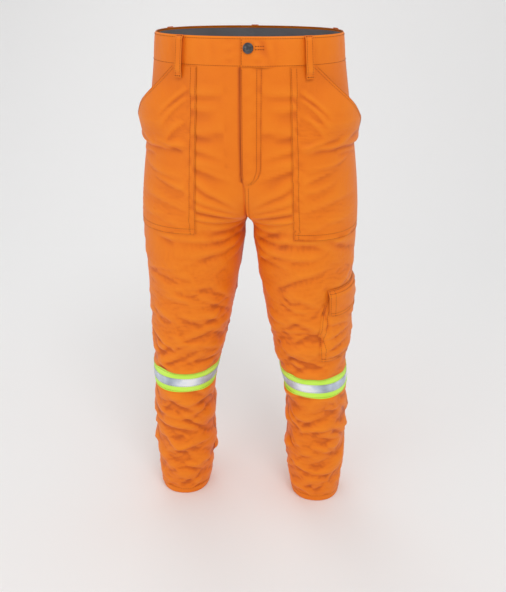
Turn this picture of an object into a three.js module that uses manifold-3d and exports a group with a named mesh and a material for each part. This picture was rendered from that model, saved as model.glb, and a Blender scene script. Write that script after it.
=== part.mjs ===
// High-visibility work trousers, standing as if worn: a cloth shell in panels, a lining, a waistband
// with belt loops, a zip fly under a hinged cover, a tack button, pockets, and reflective bands.
// Millimetres, +Z up. The front faces -Y and the wearer's left leg is at +X.
// The origin is the centre of the waistband's top edge, so every height below it is negative.
import * as THREE from "three";
import { mergeVertices } from "three/addons/utils/BufferGeometryUtils.js";
import Module from "manifold-3d";

const wasm = await Module();
wasm.setup();

// ---- Driving dimensions ----
const WAIST_HALF_WIDTH = 163;
const WAIST_HALF_DEPTH = 113;
const HIP_HALF_WIDTH = 190;
const THIGH_OUTER = 204; // from the centre plane to the outside of the leg
const CROTCH_DROP = 325; // below the waist's top edge
const KNEE_DROP = 580;
const HEM_DROP = 985; // the length of the side seam
const HEM_WIDTH = 104; // across one leg opening

const CLOTH = 2.4; // shell cloth and its wadding
const LINING = 1.0;
const GAP = 0.3; // between pieces that lie against each other
const SEAM_GAP = 0.5; // between panels sewn edge to edge
const LAYER_GAP = 1.8; // under a patch, so that its flat facets clear the panel below
const WADDING = 3.0; // room between the shell and the lining

const WAISTBAND_HEIGHT = 46;
const OVERLAP_RISE = 0.6 + CLOTH; // how far the left front's end stands proud of the right's
const FLY_EDGE = -3; // free edge of the fly cover and the waistband's overlap
const FLY_STITCH = 32; // line of the curved fly stitching, where the cover hinges
const FLY_DROP = 238;
const FLY_CURVE = 30; // height of the curved end of the fly

const KNEE_HALF_ZONE = 65; // cloth above and below the knee's axis that bends with it
const THIGH_TOP_DROP = 400; // the thigh's firm part starts clear of the hip's turning circle

// ---- The body surface ----
// Each station: height, inner and outer edge from the centre plane, front and back depth.
// Above the crotch the inner edge is negative: the two halves' ovals cross, and the centre cuts them.
const CROTCH = -CROTCH_DROP;
const KNEE = -KNEE_DROP;
const HEM = -HEM_DROP;
const SHIN = HEM - KNEE;
const THIGH = KNEE - CROTCH;
const HEM_CENTRE = THIGH_OUTER - 55;
const STATIONS = [
  [0, -WAIST_HALF_WIDTH, WAIST_HALF_WIDTH, WAIST_HALF_DEPTH + 1, WAIST_HALF_DEPTH],
  [-WAISTBAND_HEIGHT, -WAIST_HALF_WIDTH - 5, WAIST_HALF_WIDTH + 5, 119, 122],
  [0.34 * CROTCH, 15 - HIP_HALF_WIDTH, HIP_HALF_WIDTH - 12, 121, 136],
  [0.58 * CROTCH, 30 - HIP_HALF_WIDTH, HIP_HALF_WIDTH, 121, 146],
  [0.78 * CROTCH, -100, THIGH_OUTER - 5, 118, 142],
  [0.92 * CROTCH, -42, THIGH_OUTER - 1, 112, 130],
  [CROTCH, 0, THIGH_OUTER, 108, 121],
  [CROTCH + 0.2 * THIGH, 9, THIGH_OUTER, 103, 108],
  [CROTCH + 0.45 * THIGH, 20, THIGH_OUTER - 2, 98, 98],
  [CROTCH + 0.75 * THIGH, 33, THIGH_OUTER - 3, 92, 90],
  [KNEE, 47, THIGH_OUTER - 3, 87, 80],
  [KNEE + 0.16 * SHIN, 62, THIGH_OUTER - 2, 82, 74],
  [KNEE + 0.3 * SHIN, 75, THIGH_OUTER, 74, 76],
  [KNEE + 0.5 * SHIN, 80, THIGH_OUTER + 4, 66, 84],
  [KNEE + 0.72 * SHIN, 81, THIGH_OUTER + 6, 60, 80],
  [KNEE + 0.89 * SHIN, 88, THIGH_OUTER + 2, 56, 70],
  [HEM, HEM_CENTRE - HEM_WIDTH / 2, HEM_CENTRE + HEM_WIDTH / 2, 50, 60],
];
const OVAL = 2 / 2.2; // exponent of the slightly squared oval of every section
const LEFT = 1;
const RIGHT = -1;

// Smooth value of one station column at a height, by cubic Hermite curves through the stations.
function stationValue(z, column) {
  const clamped = Math.min(STATIONS[0][0], Math.max(STATIONS.at(-1)[0], z));
  let k = 0;
  while (k < STATIONS.length - 2 && clamped < STATIONS[k + 1][0]) k++;
  const slope = (i) => {
    const before = STATIONS[Math.max(0, i - 1)];
    const after = STATIONS[Math.min(STATIONS.length - 1, i + 1)];
    return (after[column] - before[column]) / (after[0] - before[0]);
  };
  const [z0, z1] = [STATIONS[k][0], STATIONS[k + 1][0]];
  const span = z1 - z0;
  const t = (clamped - z0) / span;
  const start = STATIONS[k][column];
  const end = STATIONS[k + 1][column];
  return (
    (2 * t ** 3 - 3 * t ** 2 + 1) * start +
    (t ** 3 - 2 * t ** 2 + t) * span * slope(k) +
    (3 * t ** 2 - 2 * t ** 3) * end +
    (t ** 3 - t ** 2) * span * slope(k + 1)
  );
}

const signedPower = (value, power) => Math.sign(value) * Math.abs(value) ** power;

// The oval of one half at a height: its centre, half sizes, and the angle where the centre plane cuts it.
function section(z) {
  const [inner, outer, front, back] = [1, 2, 3, 4].map((column) => stationValue(z, column));
  const cx = (inner + outer) / 2;
  const a = (outer - inner) / 2;
  const cut = z < CROTCH ? Math.PI : Math.acos(Math.max(-1, -signedPower(cx / a, 1 / OVAL)));
  return { cx, cy: (back - front) / 2, a, b: (front + back) / 2, cut };
}

// A point on the left half's surface. across is 0 at the centre front or inseam, 1 at the side seam
// and 2 at the centre back or inseam. Above the crotch a negative value is past the centre front,
// where the surface is the other half's.
function bare(across, z) {
  const { cx, cy, a, b, cut } = section(z);
  const past = across < 0 && z > CROTCH;
  const angle = cut * (1 - (past ? -across : across));
  const x = cx + a * signedPower(Math.cos(angle), OVAL);
  return new THREE.Vector3(past ? -x : x, cy - b * signedPower(Math.sin(angle), OVAL), z);
}

// The outward normal there. Next to the centre plane it turns to lie in that plane, so that the two
// halves' skins don't cross.
function normal(across, z) {
  const d = 1e-3;
  const along = bare(across + d, z).sub(bare(across - d, z));
  const down = bare(across, z - 1).sub(bare(across, z + 1));
  const n = down.cross(along).normalize();
  if (z > CROTCH) n.x *= Math.min(1, Math.abs(bare(across, z).x) / 15);
  return n.normalize();
}

// A point at a distance outside (or, if negative, inside) the surface, on the left or right half.
function skin(side, across, z, offset) {
  const p = bare(across, z).addScaledVector(normal(across, z), offset);
  p.x *= side;
  return p;
}

// The across value of the front surface at a distance x from the centre plane.
function acrossAt(x, z) {
  const { cx, a, cut } = section(z);
  const level = signedPower((Math.abs(x) - cx) / a, 1 / OVAL);
  const across = 1 - Math.acos(Math.max(-1, Math.min(1, level))) / cut;
  return x < 0 ? -across : across;
}

// ---- Solids ----
const steps = (from, to, count) =>
  Array.from({ length: count + 1 }, (_, i) => from + ((to - from) * i) / count);
const smooth = (from, to, x) => {
  const t = Math.min(1, Math.max(0, (x - from) / (to - from)));
  return t * t * (3 - 2 * t);
};

function geometryOf(points, triangles) {
  const volume = triangles.reduce(
    (sum, [a, b, c]) => sum + points[a].dot(points[b].clone().cross(points[c])),
    0,
  );
  const faces = volume < 0 ? triangles.map(([a, b, c]) => [a, c, b]) : triangles;
  return new THREE.BufferGeometry().setFromPoints(points).setIndex(faces.flat());
}

// A closed solid between an outer and an inner grid of points. A ring's last column meets its first.
function shell(outer, inner, ring = false) {
  const rows = outer.length;
  const columns = outer[0].length;
  const count = rows * columns;
  const at = (skinIndex, i, j) => skinIndex * count + i * columns + (j % columns);
  const triangles = [];
  const quad = (a, b, c, d) => triangles.push([a, b, c], [a, c, d]);
  const lastColumn = ring ? columns : columns - 1;
  for (let j = 0; j < lastColumn; j++) {
    for (let i = 0; i < rows - 1; i++) {
      quad(at(0, i, j), at(0, i + 1, j), at(0, i + 1, j + 1), at(0, i, j + 1));
      quad(at(1, i, j), at(1, i, j + 1), at(1, i + 1, j + 1), at(1, i + 1, j));
    }
    quad(at(0, 0, j), at(0, 0, j + 1), at(1, 0, j + 1), at(1, 0, j));
    const end = rows - 1;
    quad(at(0, end, j + 1), at(0, end, j), at(1, end, j), at(1, end, j + 1));
  }
  for (let i = 0; i < rows - 1 && !ring; i++) {
    quad(at(0, i + 1, 0), at(0, i, 0), at(1, i, 0), at(1, i + 1, 0));
    const end = columns - 1;
    quad(at(0, i, end), at(0, i + 1, end), at(1, i + 1, end), at(1, i, end));
  }
  return geometryOf([...outer.flat(), ...inner.flat()], triangles);
}

// Cloth that follows the body surface. heights runs down, across(z) lists the columns at a height,
// and inner and outer are offsets, each a number or a function of the bare point.
function cloth(side, heights, across, inner, outer, ring = false) {
  const grid = (offset) =>
    heights.map((z) =>
      across(z).map((w) =>
        skin(side, w, z, typeof offset === "function" ? offset(bare(w, z)) : offset),
      ),
    );
  return shell(grid(outer), grid(inner), ring);
}

const between = (from, to, count) => (z) =>
  steps(
    typeof from === "function" ? from(z) : from,
    typeof to === "function" ? to(z) : to,
    count,
  );
const around = (count) => () => steps(0, 2, count).slice(0, -1);

// A clockwise outline of [offset, height] points, following the surface at one place across, made
// width wide.
function strap(side, across, outline, width) {
  const along = skin(side, across + 0.01, -20, 0)
    .sub(skin(side, across - 0.01, -20, 0))
    .setZ(0)
    .setLength(width / 2);
  const middle = outline.map(([offset, z]) => skin(side, across, z, offset));
  const points = [
    ...middle.map((p) => p.clone().sub(along)),
    ...middle.map((p) => p.clone().add(along)),
  ];
  const n = outline.length;
  const caps = THREE.ShapeUtils.triangulateShape(
    outline.map(([offset, z]) => new THREE.Vector2(offset, z)),
    [],
  );
  const triangles = caps.flatMap(([a, b, c]) => [
    [a, c, b],
    [a + n, b + n, c + n],
  ]);
  for (let i = 0; i < n; i++) {
    const next = (i + 1) % n;
    triangles.push([i, next + n, next], [i, i + n, next + n]);
  }
  return geometryOf(points, triangles);
}

function solidOf(geometry) {
  const plain = geometry.clone();
  plain.deleteAttribute("normal");
  plain.deleteAttribute("uv");
  const merged = mergeVertices(plain, 1e-4);
  return new wasm.Manifold(
    new wasm.Mesh({
      numProp: 3,
      vertProperties: merged.attributes.position.array,
      triVerts: new Uint32Array(merged.index.array),
    }),
  );
}

function cut(geometry, ...tools) {
  const mesh = tools.reduce((solid, tool) => solid.subtract(solidOf(tool)), solidOf(geometry)).getMesh();
  return new THREE.BufferGeometry()
    .setAttribute("position", new THREE.BufferAttribute(mesh.vertProperties, 3))
    .setIndex(new THREE.BufferAttribute(mesh.triVerts, 1));
}

function join(...geometries) {
  const [first, ...rest] = geometries.map(solidOf);
  const mesh = rest.reduce((solid, next) => solid.add(next), first).getMesh();
  return new THREE.BufferGeometry()
    .setAttribute("position", new THREE.BufferAttribute(mesh.vertProperties, 3))
    .setIndex(new THREE.BufferAttribute(mesh.triVerts, 1));
}

// A box by its lowest and highest corners.
function block([x0, y0, z0], [x1, y1, z1]) {
  return new THREE.BoxGeometry(x1 - x0, y1 - y0, z1 - z0).translate(
    (x0 + x1) / 2,
    (y0 + y1) / 2,
    (z0 + z1) / 2,
  );
}

const orange = { color: 0xee7d22, roughness: 0.72, metalness: 0 };
const liningGrey = { color: 0x8b8d90, roughness: 0.8, metalness: 0 };
const lime = { color: 0xd0f545, roughness: 0.6, metalness: 0 };
const silver = { color: 0xc9ced6, roughness: 0.35, metalness: 0.3 };
const gunmetal = { color: 0x3a3b40, roughness: 0.35, metalness: 0.9 };
const tapeOrange = { color: 0xd96d1c, roughness: 0.8, metalness: 0 };
const darkStrip = { color: 0xc9651c, roughness: 0.95, metalness: 0 };

const trousers = new THREE.Group();
function add(name, geometry, look) {
  const mesh = new THREE.Mesh(geometry, new THREE.MeshStandardMaterial(look));
  mesh.name = name;
  trousers.add(mesh);
}
const SIDES = [
  ["left", LEFT],
  ["right", RIGHT],
];

// ---- Seat panels: from the waistband to the crotch ----
const SEAT_TOP = -WAISTBAND_HEIGHT - SEAM_GAP;
// The rise turns in under the body just above the crotch, so the rows crowd together there.
const RISE_HEIGHTS = [0, 0.3, 0.55, 0.74, 0.88, 1].map((t) => -FLY_DROP + t * (CROTCH + FLY_DROP));
const LOOP_BOTTOM = -WAISTBAND_HEIGHT - 20; // where the belt loops are sewn on below the waistband
const FLY_HEIGHTS = [
  ...steps(LOOP_BOTTOM, -FLY_DROP + FLY_CURVE, 3),
  -FLY_DROP + 0.6 * FLY_CURVE,
  -FLY_DROP + 0.25 * FLY_CURVE,
];
const SEAT_HEIGHTS = [SEAT_TOP, ...FLY_HEIGHTS, ...RISE_HEIGHTS];
const CENTRE_CLEAR = 0.4;
const SIDE_SEAM_CLEAR = 0.002; // in across units, each side of the seam

// The curved fly stitching: straight down, then a quarter turn in to the centre seam.
function flyStitch(z) {
  const into = Math.min(1, Math.max(0, (-FLY_DROP + FLY_CURVE - z) / FLY_CURVE));
  return CENTRE_CLEAR + (FLY_STITCH - CENTRE_CLEAR) * Math.sqrt(1 - into ** 2);
}
const RIGHT_EDGE = 3; // the right front passes this far under the cover
const leftInner = (z) => acrossAt(z > -FLY_DROP ? flyStitch(z) : CENTRE_CLEAR, z);
const rightInner = (z) =>
  acrossAt(CENTRE_CLEAR - (RIGHT_EDGE + CENTRE_CLEAR) * smooth(-FLY_DROP, -FLY_DROP + FLY_CURVE, z), z);
const backInner = (z) => 2 - acrossAt(CENTRE_CLEAR, z);

for (const [name, side] of SIDES) {
  const inner = side === LEFT ? leftInner : rightInner;
  add(
    `${name}_front_seat_panel`,
    cloth(side, SEAT_HEIGHTS, between(inner, 1 - SIDE_SEAM_CLEAR, 9), -CLOTH, 0),
    orange,
  );
  add(
    `${name}_back_seat_panel`,
    cloth(side, SEAT_HEIGHTS, between(1 + SIDE_SEAM_CLEAR, backInner, 9), -CLOTH, 0),
    orange,
  );
}

// The reflective band's heights, which the shin's rows follow.
const BAND_TOP = -KNEE_DROP - KNEE_HALF_ZONE - 3;
const LIME_WIDTH = 50;
const SILVER_WIDTH = 20;
const BAND_HEIGHTS = [
  BAND_TOP,
  BAND_TOP - (LIME_WIDTH - SILVER_WIDTH) / 2,
  BAND_TOP - (LIME_WIDTH + SILVER_WIDTH) / 2,
  BAND_TOP - LIME_WIDTH,
];

// ---- Leg cloth: the crease zone under the hip, the thigh, the knee zone and the shin ----
const KNEE_TOP = KNEE + KNEE_HALF_ZONE;
const KNEE_BOTTOM = KNEE - KNEE_HALF_ZONE;
const THIGH_TOP = -THIGH_TOP_DROP;
const HEM_DEPTH = 22; // the turned-up hem
const HEM_TOP = HEM + HEM_DEPTH;
const LEG_COLUMNS = 20;
for (const [name, side] of SIDES) {
  const ring = (top, bottom, rows, inner, outer) =>
    cloth(side, steps(top - SEAM_GAP, bottom + SEAM_GAP, rows), around(LEG_COLUMNS), inner, outer, true);
  add(`${name}_hip_crease_cloth`, ring(CROTCH - 2, THIGH_TOP, 3, -CLOTH, 0), orange);
  add(`${name}_knee_cloth`, ring(KNEE_TOP, KNEE_BOTTOM, 4, -CLOTH, 0), orange);
  for (const [face, from, to] of [
    ["front", 0, 1],
    ["back", 1, 2],
  ]) {
    const span = between(from + SIDE_SEAM_CLEAR, to - SIDE_SEAM_CLEAR, LEG_COLUMNS / 2);
    const panel = (heights) => cloth(side, heights, span, -CLOTH, 0);
    const thighHeights = steps(THIGH_TOP - SEAM_GAP, KNEE_TOP + SEAM_GAP, 3);
    const shinHeights = [
      KNEE_BOTTOM - SEAM_GAP,
      ...BAND_HEIGHTS,
      ...steps(BAND_HEIGHTS.at(-1), HEM_TOP + SEAM_GAP, 5).slice(1),
    ];
    add(`${name}_${face}_thigh_panel`, panel(thighHeights), orange);
    add(`${name}_${face}_shin_panel`, panel(shinHeights), orange);
  }
  // The hem's points keep their height, so its lower edge lies flat.
  const hemSkin = (offset) =>
    [HEM_TOP - SEAM_GAP, HEM].map((z) =>
      around(LEG_COLUMNS)().map((across) => skin(side, across, z, offset).setZ(z)),
    );
  add(`${name}_hem`, shell(hemSkin(0), hemSkin(-2 * CLOTH), true), orange);
}

// ---- Reflective bands below the knee: a lime tape with a silver strip on it ----
const TAPE = 0.8;
const TAPE_GAP = 0.5;
for (const [name, side] of SIDES) {
  const tape = (heights, offset) =>
    cloth(side, heights, around(LEG_COLUMNS), offset, offset + TAPE, true);
  add(`${name}_lime_tape`, tape(BAND_HEIGHTS, TAPE_GAP), lime);
  add(`${name}_silver_tape`, tape(BAND_HEIGHTS.slice(1, 3), TAPE_GAP + TAPE + 2 * GAP), silver);
}

// ---- Waistband: the left front laps over the right, the back closes the ring ----
const BAND_BOTTOM = -WAISTBAND_HEIGHT;
const BACK_BAND_START = 1.12; // the back piece starts just behind the side seams
const BAND_SEAM_CLEAR = 0.003; // in across units, each side of that seam
const UNDERLAP = 28; // how far the right end passes under the left
const lap = (p) => OVERLAP_RISE * (1 - smooth(FLY_STITCH, FLY_STITCH + 22, p.x));
const bandColumns = (xs, to, count) => (z) => [
  ...xs.map((x) => acrossAt(x, z)),
  ...steps(acrossAt(xs.at(-1), z), to, count).slice(1),
];
const WAIST_HEIGHTS = steps(0, BAND_BOTTOM, 2);
const BUTTON_X = 9;
const BUTTON_Z = -17;
const POST_RADIUS = 2.6;
const HOLE_CLEARANCE = 0.5;
const BUTTONHOLE_LENGTH = 22;
const buttonSurface = skin(LEFT, acrossAt(BUTTON_X, BUTTON_Z), BUTTON_Z, 0).y;
const holeReach = POST_RADIUS + HOLE_CLEARANCE;
const buttonhole = block(
  [BUTTON_X - holeReach, buttonSurface - 20, BUTTON_Z - holeReach],
  [BUTTON_X - holeReach + BUTTONHOLE_LENGTH, buttonSurface + 20, BUTTON_Z + holeReach],
);
const tackHole = block(
  [BUTTON_X - holeReach, buttonSurface - 20, BUTTON_Z - holeReach],
  [BUTTON_X + holeReach, buttonSurface + 20, BUTTON_Z + holeReach],
);
const LAP_END = FLY_STITCH + 22; // by here the left front lies at the right front's level again
const leftLapColumns = bandColumns(
  [FLY_EDGE, 15, FLY_STITCH, (FLY_STITCH + LAP_END) / 2, LAP_END],
  BACK_BAND_START - BAND_SEAM_CLEAR,
  7,
);
const rightLapColumns = bandColumns([-UNDERLAP, -10, 10], BACK_BAND_START - BAND_SEAM_CLEAR, 9);
add(
  "waistband_left_front",
  cut(
    cloth(LEFT, WAIST_HEIGHTS, leftLapColumns, (p) => lap(p) - CLOTH, lap),
    buttonhole,
  ),
  orange,
);
add(
  "waistband_right_front",
  cut(
    cloth(RIGHT, WAIST_HEIGHTS, rightLapColumns, -CLOTH, 0),
    tackHole,
  ),
  orange,
);
const backBandColumns = steps(BACK_BAND_START + BAND_SEAM_CLEAR, 2, 8);
const backBandGrid = (offset, columns, heights) =>
  heights.map((z) => [
    ...columns.map((w) => skin(LEFT, w, z, offset)),
    ...columns.slice(0, -1).reverse().map((w) => skin(RIGHT, w, z, offset)),
  ]);
add(
  "waistband_back",
  shell(
    backBandGrid(0, backBandColumns, WAIST_HEIGHTS),
    backBandGrid(-CLOTH, backBandColumns, WAIST_HEIGHTS),
  ),
  orange,
);
const FACING_START = 50; // from the centre front, clear of the fly
const facingHeights = steps(-3, BAND_BOTTOM - 4, 2);
const facingColumns = steps(acrossAt(FACING_START, 0), 2, 16);
const facingOuter = -CLOTH - WADDING;
add(
  "waistband_facing",
  shell(
    backBandGrid(facingOuter, facingColumns, facingHeights),
    backBandGrid(facingOuter - LINING, facingColumns, facingHeights),
  ),
  liningGrey,
);

// ---- Tack button: a domed cap that turns on a nailed post ----
const CAP_RADIUS = 8.5;
const CAP_THICK = 3.6;
const SOCKET_DEPTH = 2.4;
const WASHER_RADIUS = 5.5;
const WASHER_THICK = 1.0;
const WASHER_TOP = -CLOTH - 0.9; // clear of the band, which curves behind the flat washer
const capBase = OVERLAP_RISE + 1.4; // distance in front of the right band's face
// A turned piece from [radius, distance in front of the right band's face] points.
const lathe = (profile) =>
  new THREE.LatheGeometry(profile.map(([r, out]) => new THREE.Vector2(r, out)), 20)
    .rotateX(Math.PI)
    .translate(BUTTON_X, buttonSurface, BUTTON_Z);
const socketRadius = POST_RADIUS - 0.8;
add(
  "button_cap",
  lathe([
    [0, capBase + SOCKET_DEPTH],
    [socketRadius + GAP, capBase + SOCKET_DEPTH],
    [socketRadius + GAP, capBase],
    [CAP_RADIUS - 0.8, capBase],
    [CAP_RADIUS, capBase + 0.9],
    [CAP_RADIUS - 0.4, capBase + 2.2],
    [CAP_RADIUS - 1.6, capBase + 2.7],
    [CAP_RADIUS - 2.6, capBase + 2.3],
    [3.2, capBase + CAP_THICK - 0.6],
    [0, capBase + CAP_THICK],
  ]),
  gunmetal,
);
add(
  "button_tack",
  lathe([
    [0, WASHER_TOP - WASHER_THICK],
    [WASHER_RADIUS, WASHER_TOP - WASHER_THICK],
    [WASHER_RADIUS, WASHER_TOP],
    [POST_RADIUS, WASHER_TOP],
    [POST_RADIUS, capBase - GAP],
    [socketRadius, capBase - GAP],
    [socketRadius, capBase + SOCKET_DEPTH - GAP],
    [0, capBase + SOCKET_DEPTH - GAP],
  ]),
  gunmetal,
);

// ---- Fly: the hinged cover, and behind it the zip and its guard ----
const COVER_TOP = SEAT_TOP - 0.3;
const COVER_GAP = 1;
const COVER_HEIGHTS = [COVER_TOP, ...FLY_HEIGHTS];
add(
  "fly_cover",
  cloth(
    LEFT,
    COVER_HEIGHTS,
    between((z) => acrossAt(FLY_EDGE, z), (z) => acrossAt(flyStitch(z) - 1.2, z), 4),
    COVER_GAP,
    COVER_GAP + CLOTH,
  ),
  orange,
);
const ZIP_X = 15;
const ZIP_TOP = SEAT_TOP - 6.5;
const ZIP_BOTTOM = -FLY_DROP + 34;
const ZIP_DEPTH = 7.64; // behind the front surface where that lies furthest back along the zip
const zipFront = steps(ZIP_TOP, ZIP_BOTTOM, 6).map((z) => bare(acrossAt(ZIP_X, z), z).y);
const ZIP_Y = Math.max(...zipFront) + ZIP_DEPTH; // the plane of the tapes
const TOOTH_WIDTH = 2;
const TEETH_THICK = 2.4;
const CHAIN_GAP = 1.2; // the slider's fin passes here
const TAPE_WIDTH = 12;
const ZIP_TAPE = 0.8;
const TOOTH_PITCH = 5;

// One side of the chain, a bar notched at every tooth.
function teethRow(side) {
  const inner = CHAIN_GAP / 2;
  const outer = inner + TOOTH_WIDTH;
  const count = Math.floor((ZIP_TOP - ZIP_BOTTOM) / TOOTH_PITCH);
  const outline = new THREE.Shape().moveTo(outer, ZIP_BOTTOM);
  outline.lineTo(outer, ZIP_BOTTOM + count * TOOTH_PITCH);
  for (let i = count; i > 0; i--) {
    const top = ZIP_BOTTOM + i * TOOTH_PITCH;
    outline.lineTo(inner, top);
    outline.lineTo(inner, top - 0.6 * TOOTH_PITCH);
    outline.lineTo(inner + 0.7, top - 0.8 * TOOTH_PITCH);
  }
  outline.lineTo(inner, ZIP_BOTTOM);
  // Once turned, the outline's height runs along +Z and its thickness along -Y.
  const row = new THREE.ExtrudeGeometry(outline, { depth: TEETH_THICK, bevelEnabled: false })
    .rotateX(Math.PI / 2)
    .translate(0, TEETH_THICK / 2, 0);
  if (side < 0) row.rotateZ(Math.PI);
  return row.translate(ZIP_X, ZIP_Y, 0);
}
for (const [name, side] of SIDES) {
  add(`${name}_zip_teeth`, teethRow(side), tapeOrange);
  const near = CHAIN_GAP / 2 + TOOTH_WIDTH + GAP;
  const [x0, x1] = side > 0 ? [near, near + TAPE_WIDTH] : [-near - TAPE_WIDTH, -near];
  add(
    `${name}_zip_tape`,
    block(
      [ZIP_X + x0, ZIP_Y - ZIP_TAPE / 2, ZIP_BOTTOM - 6],
      [ZIP_X + x1, ZIP_Y + ZIP_TAPE / 2, ZIP_TOP + 3],
    ),
    tapeOrange,
  );
}
add(
  "zip_bottom_stop",
  block(
    [ZIP_X - 2.4, ZIP_Y - 1.6, ZIP_BOTTOM - 4],
    [ZIP_X + 2.4, ZIP_Y + 1.6, ZIP_BOTTOM - GAP],
  ),
  gunmetal,
);
const SLIDER_WIDTH = 10.5;
const SLIDER_LENGTH = 12;
const PLATE = 0.9;
const CHANNEL = TEETH_THICK + 2 * GAP;
const SLIDER_TOP = ZIP_TOP - 1;
const sliderPlate = (y0) =>
  block(
    [ZIP_X - SLIDER_WIDTH / 2, y0, SLIDER_TOP - SLIDER_LENGTH],
    [ZIP_X + SLIDER_WIDTH / 2, y0 + PLATE, SLIDER_TOP],
  );
const FIN = 0.5;
add(
  "zip_slider",
  join(
    sliderPlate(ZIP_Y - CHANNEL / 2 - PLATE),
    sliderPlate(ZIP_Y + CHANNEL / 2),
    block(
      [ZIP_X - FIN / 2, ZIP_Y - CHANNEL / 2 - 0.1, SLIDER_TOP - 4],
      [ZIP_X + FIN / 2, ZIP_Y + CHANNEL / 2 + 0.1, SLIDER_TOP],
    ),
  ),
  gunmetal,
);
const PULL_LENGTH = 18;
const PULL_TOP = SLIDER_TOP - 5;
const pullFront = ZIP_Y - CHANNEL / 2 - PLATE - GAP;
add(
  "zip_pull",
  block([ZIP_X - 3, pullFront - 1, PULL_TOP - PULL_LENGTH], [ZIP_X + 3, pullFront, PULL_TOP]),
  gunmetal,
);
const GUARD_Y = ZIP_Y + 5;
add(
  "fly_guard",
  block([-16, GUARD_Y, ZIP_BOTTOM - 14], [FLY_STITCH, GUARD_Y + 1.4, SEAT_TOP - 1]),
  orange,
);

// ---- Hand pockets: big front patches, standing open at the slanting mouth ----
const POCKET_INNER_TOP = 76;
const POCKET_INNER_BOTTOM = 88;
const MOUTH_X = 118; // where the mouth leaves the waistband
const MOUTH_BOTTOM = -165; // where it meets the side seam
const POUCH_BOTTOM = -215;
const POCKET_BOTTOM = -345;
const POUCH_DEPTH = 24;
const POCKET_TOP = SEAT_TOP - 0.5;
const pocketInner = (z) =>
  acrossAt(
    POCKET_INNER_TOP +
      ((POCKET_INNER_BOTTOM - POCKET_INNER_TOP) * (POCKET_TOP - z)) / (POCKET_TOP - POCKET_BOTTOM),
    z,
  );
const mouth = (z) => {
  const down = Math.min(1, (POCKET_TOP - z) / (POCKET_TOP - MOUTH_BOTTOM));
  const start = acrossAt(MOUTH_X, z);
  return start + (0.985 - start) * down ** 0.85;
};
// How far the pouch stands off the panel: nothing at its inner edge, top and bottom, most at the mouth.
function pouch(p) {
  const out = smooth(POCKET_INNER_TOP + 4, 165, p.x);
  const opens = smooth(POCKET_TOP, MOUTH_BOTTOM + 50, p.z);
  const closes = 1 - smooth(MOUTH_BOTTOM, POUCH_BOTTOM + 6, p.z);
  return LAYER_GAP + POUCH_DEPTH * out * opens * closes;
}
for (const [name, side] of SIDES) {
  add(
    `${name}_hand_pocket_pouch`,
    cloth(
      side,
      steps(POCKET_TOP, POUCH_BOTTOM, 8),
      between(pocketInner, mouth, 7),
      pouch,
      (p) => pouch(p) + CLOTH,
    ),
    orange,
  );
  add(
    `${name}_hand_pocket_lower`,
    cloth(
      side,
      [POUCH_BOTTOM - SEAM_GAP, ...RISE_HEIGHTS.filter((z) => z > POCKET_BOTTOM + 15), POCKET_BOTTOM],
      between(pocketInner, 0.985, 6),
      LAYER_GAP,
      LAYER_GAP + CLOTH,
    ),
    orange,
  );
}

// ---- Belt loops: straps standing off the waistband, sewn down above and below it ----
const LOOP_WIDTH = 13;
const LOOP_THICK = 1.6;
const LOOP_ROOM = 7; // between the waistband and the loop's inside
const LOOP_FOOT = 4.5; // height of each sewn-down end
// under is how far out the lower end sits, over whatever it is sewn on.
const loopOutline = (under) => [
  [0.5, -0.5],
  [3.4, -0.5],
  [LOOP_ROOM + LOOP_THICK, -6],
  [LOOP_ROOM + LOOP_THICK, LOOP_BOTTOM + 11],
  [under + 2.4, LOOP_BOTTOM],
  [under, LOOP_BOTTOM],
  [under, LOOP_BOTTOM + LOOP_FOOT],
  [LOOP_ROOM, LOOP_BOTTOM + 12.5],
  [LOOP_ROOM, -7.5],
  [2.2, -0.5 - LOOP_FOOT],
  [0.5, -0.5 - LOOP_FOOT],
];
const OVER_PANEL = 0.5;
const OVER_POCKET = 0.5;
const FRONT_LOOP_X = 103;
const REAR_LOOP_ACROSS = 1.3;
// The fullest spot of the pocket under a front loop's lower end.
function pouchUnder(across) {
  const corners = [LOOP_BOTTOM, LOOP_BOTTOM + LOOP_FOOT].flatMap((z) => {
    const p = bare(across, z);
    return [p.clone().setX(p.x - LOOP_WIDTH / 2), p.setX(p.x + LOOP_WIDTH / 2)];
  });
  return Math.max(...corners.map(pouch)) + CLOTH;
}
const loop = (side, across, under) => strap(side, across, loopOutline(under), LOOP_WIDTH);
for (const [name, side] of SIDES) {
  const frontAcross = acrossAt(FRONT_LOOP_X, -20);
  const over = pouchUnder(frontAcross) + OVER_POCKET;
  add(`${name}_front_belt_loop`, loop(side, frontAcross, over), orange);
  add(`${name}_rear_belt_loop`, loop(side, REAR_LOOP_ACROSS, OVER_PANEL), orange);
}
add("centre_back_belt_loop", loop(LEFT, 2, OVER_PANEL), orange);

// ---- Back pockets: patches open at the top ----
const BACK_POCKET_TOP = -92;
const BACK_POCKET_BOTTOM = -232;
const BACK_POCKET_ROOM = 9;
const BACK_POCKET_SIDES = [1.3, 1.72]; // across values
const BACK_POCKET_WALL = 0.018; // in across units
for (const [name, side] of SIDES) {
  const [near, far] = BACK_POCKET_SIDES;
  const patch = (top, bottom, wall, inner, outer) =>
    cloth(side, steps(top, bottom, 4), between(near + wall, far - wall, 5), inner, outer);
  const roof = LAYER_GAP + BACK_POCKET_ROOM;
  const body = patch(BACK_POCKET_TOP, BACK_POCKET_BOTTOM, 0, LAYER_GAP, roof + CLOTH);
  const room = patch(BACK_POCKET_TOP + 4, BACK_POCKET_BOTTOM + 6, BACK_POCKET_WALL, LAYER_GAP - 2, roof);
  add(`${name}_back_pocket`, cut(body, room), orange);
}

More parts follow.
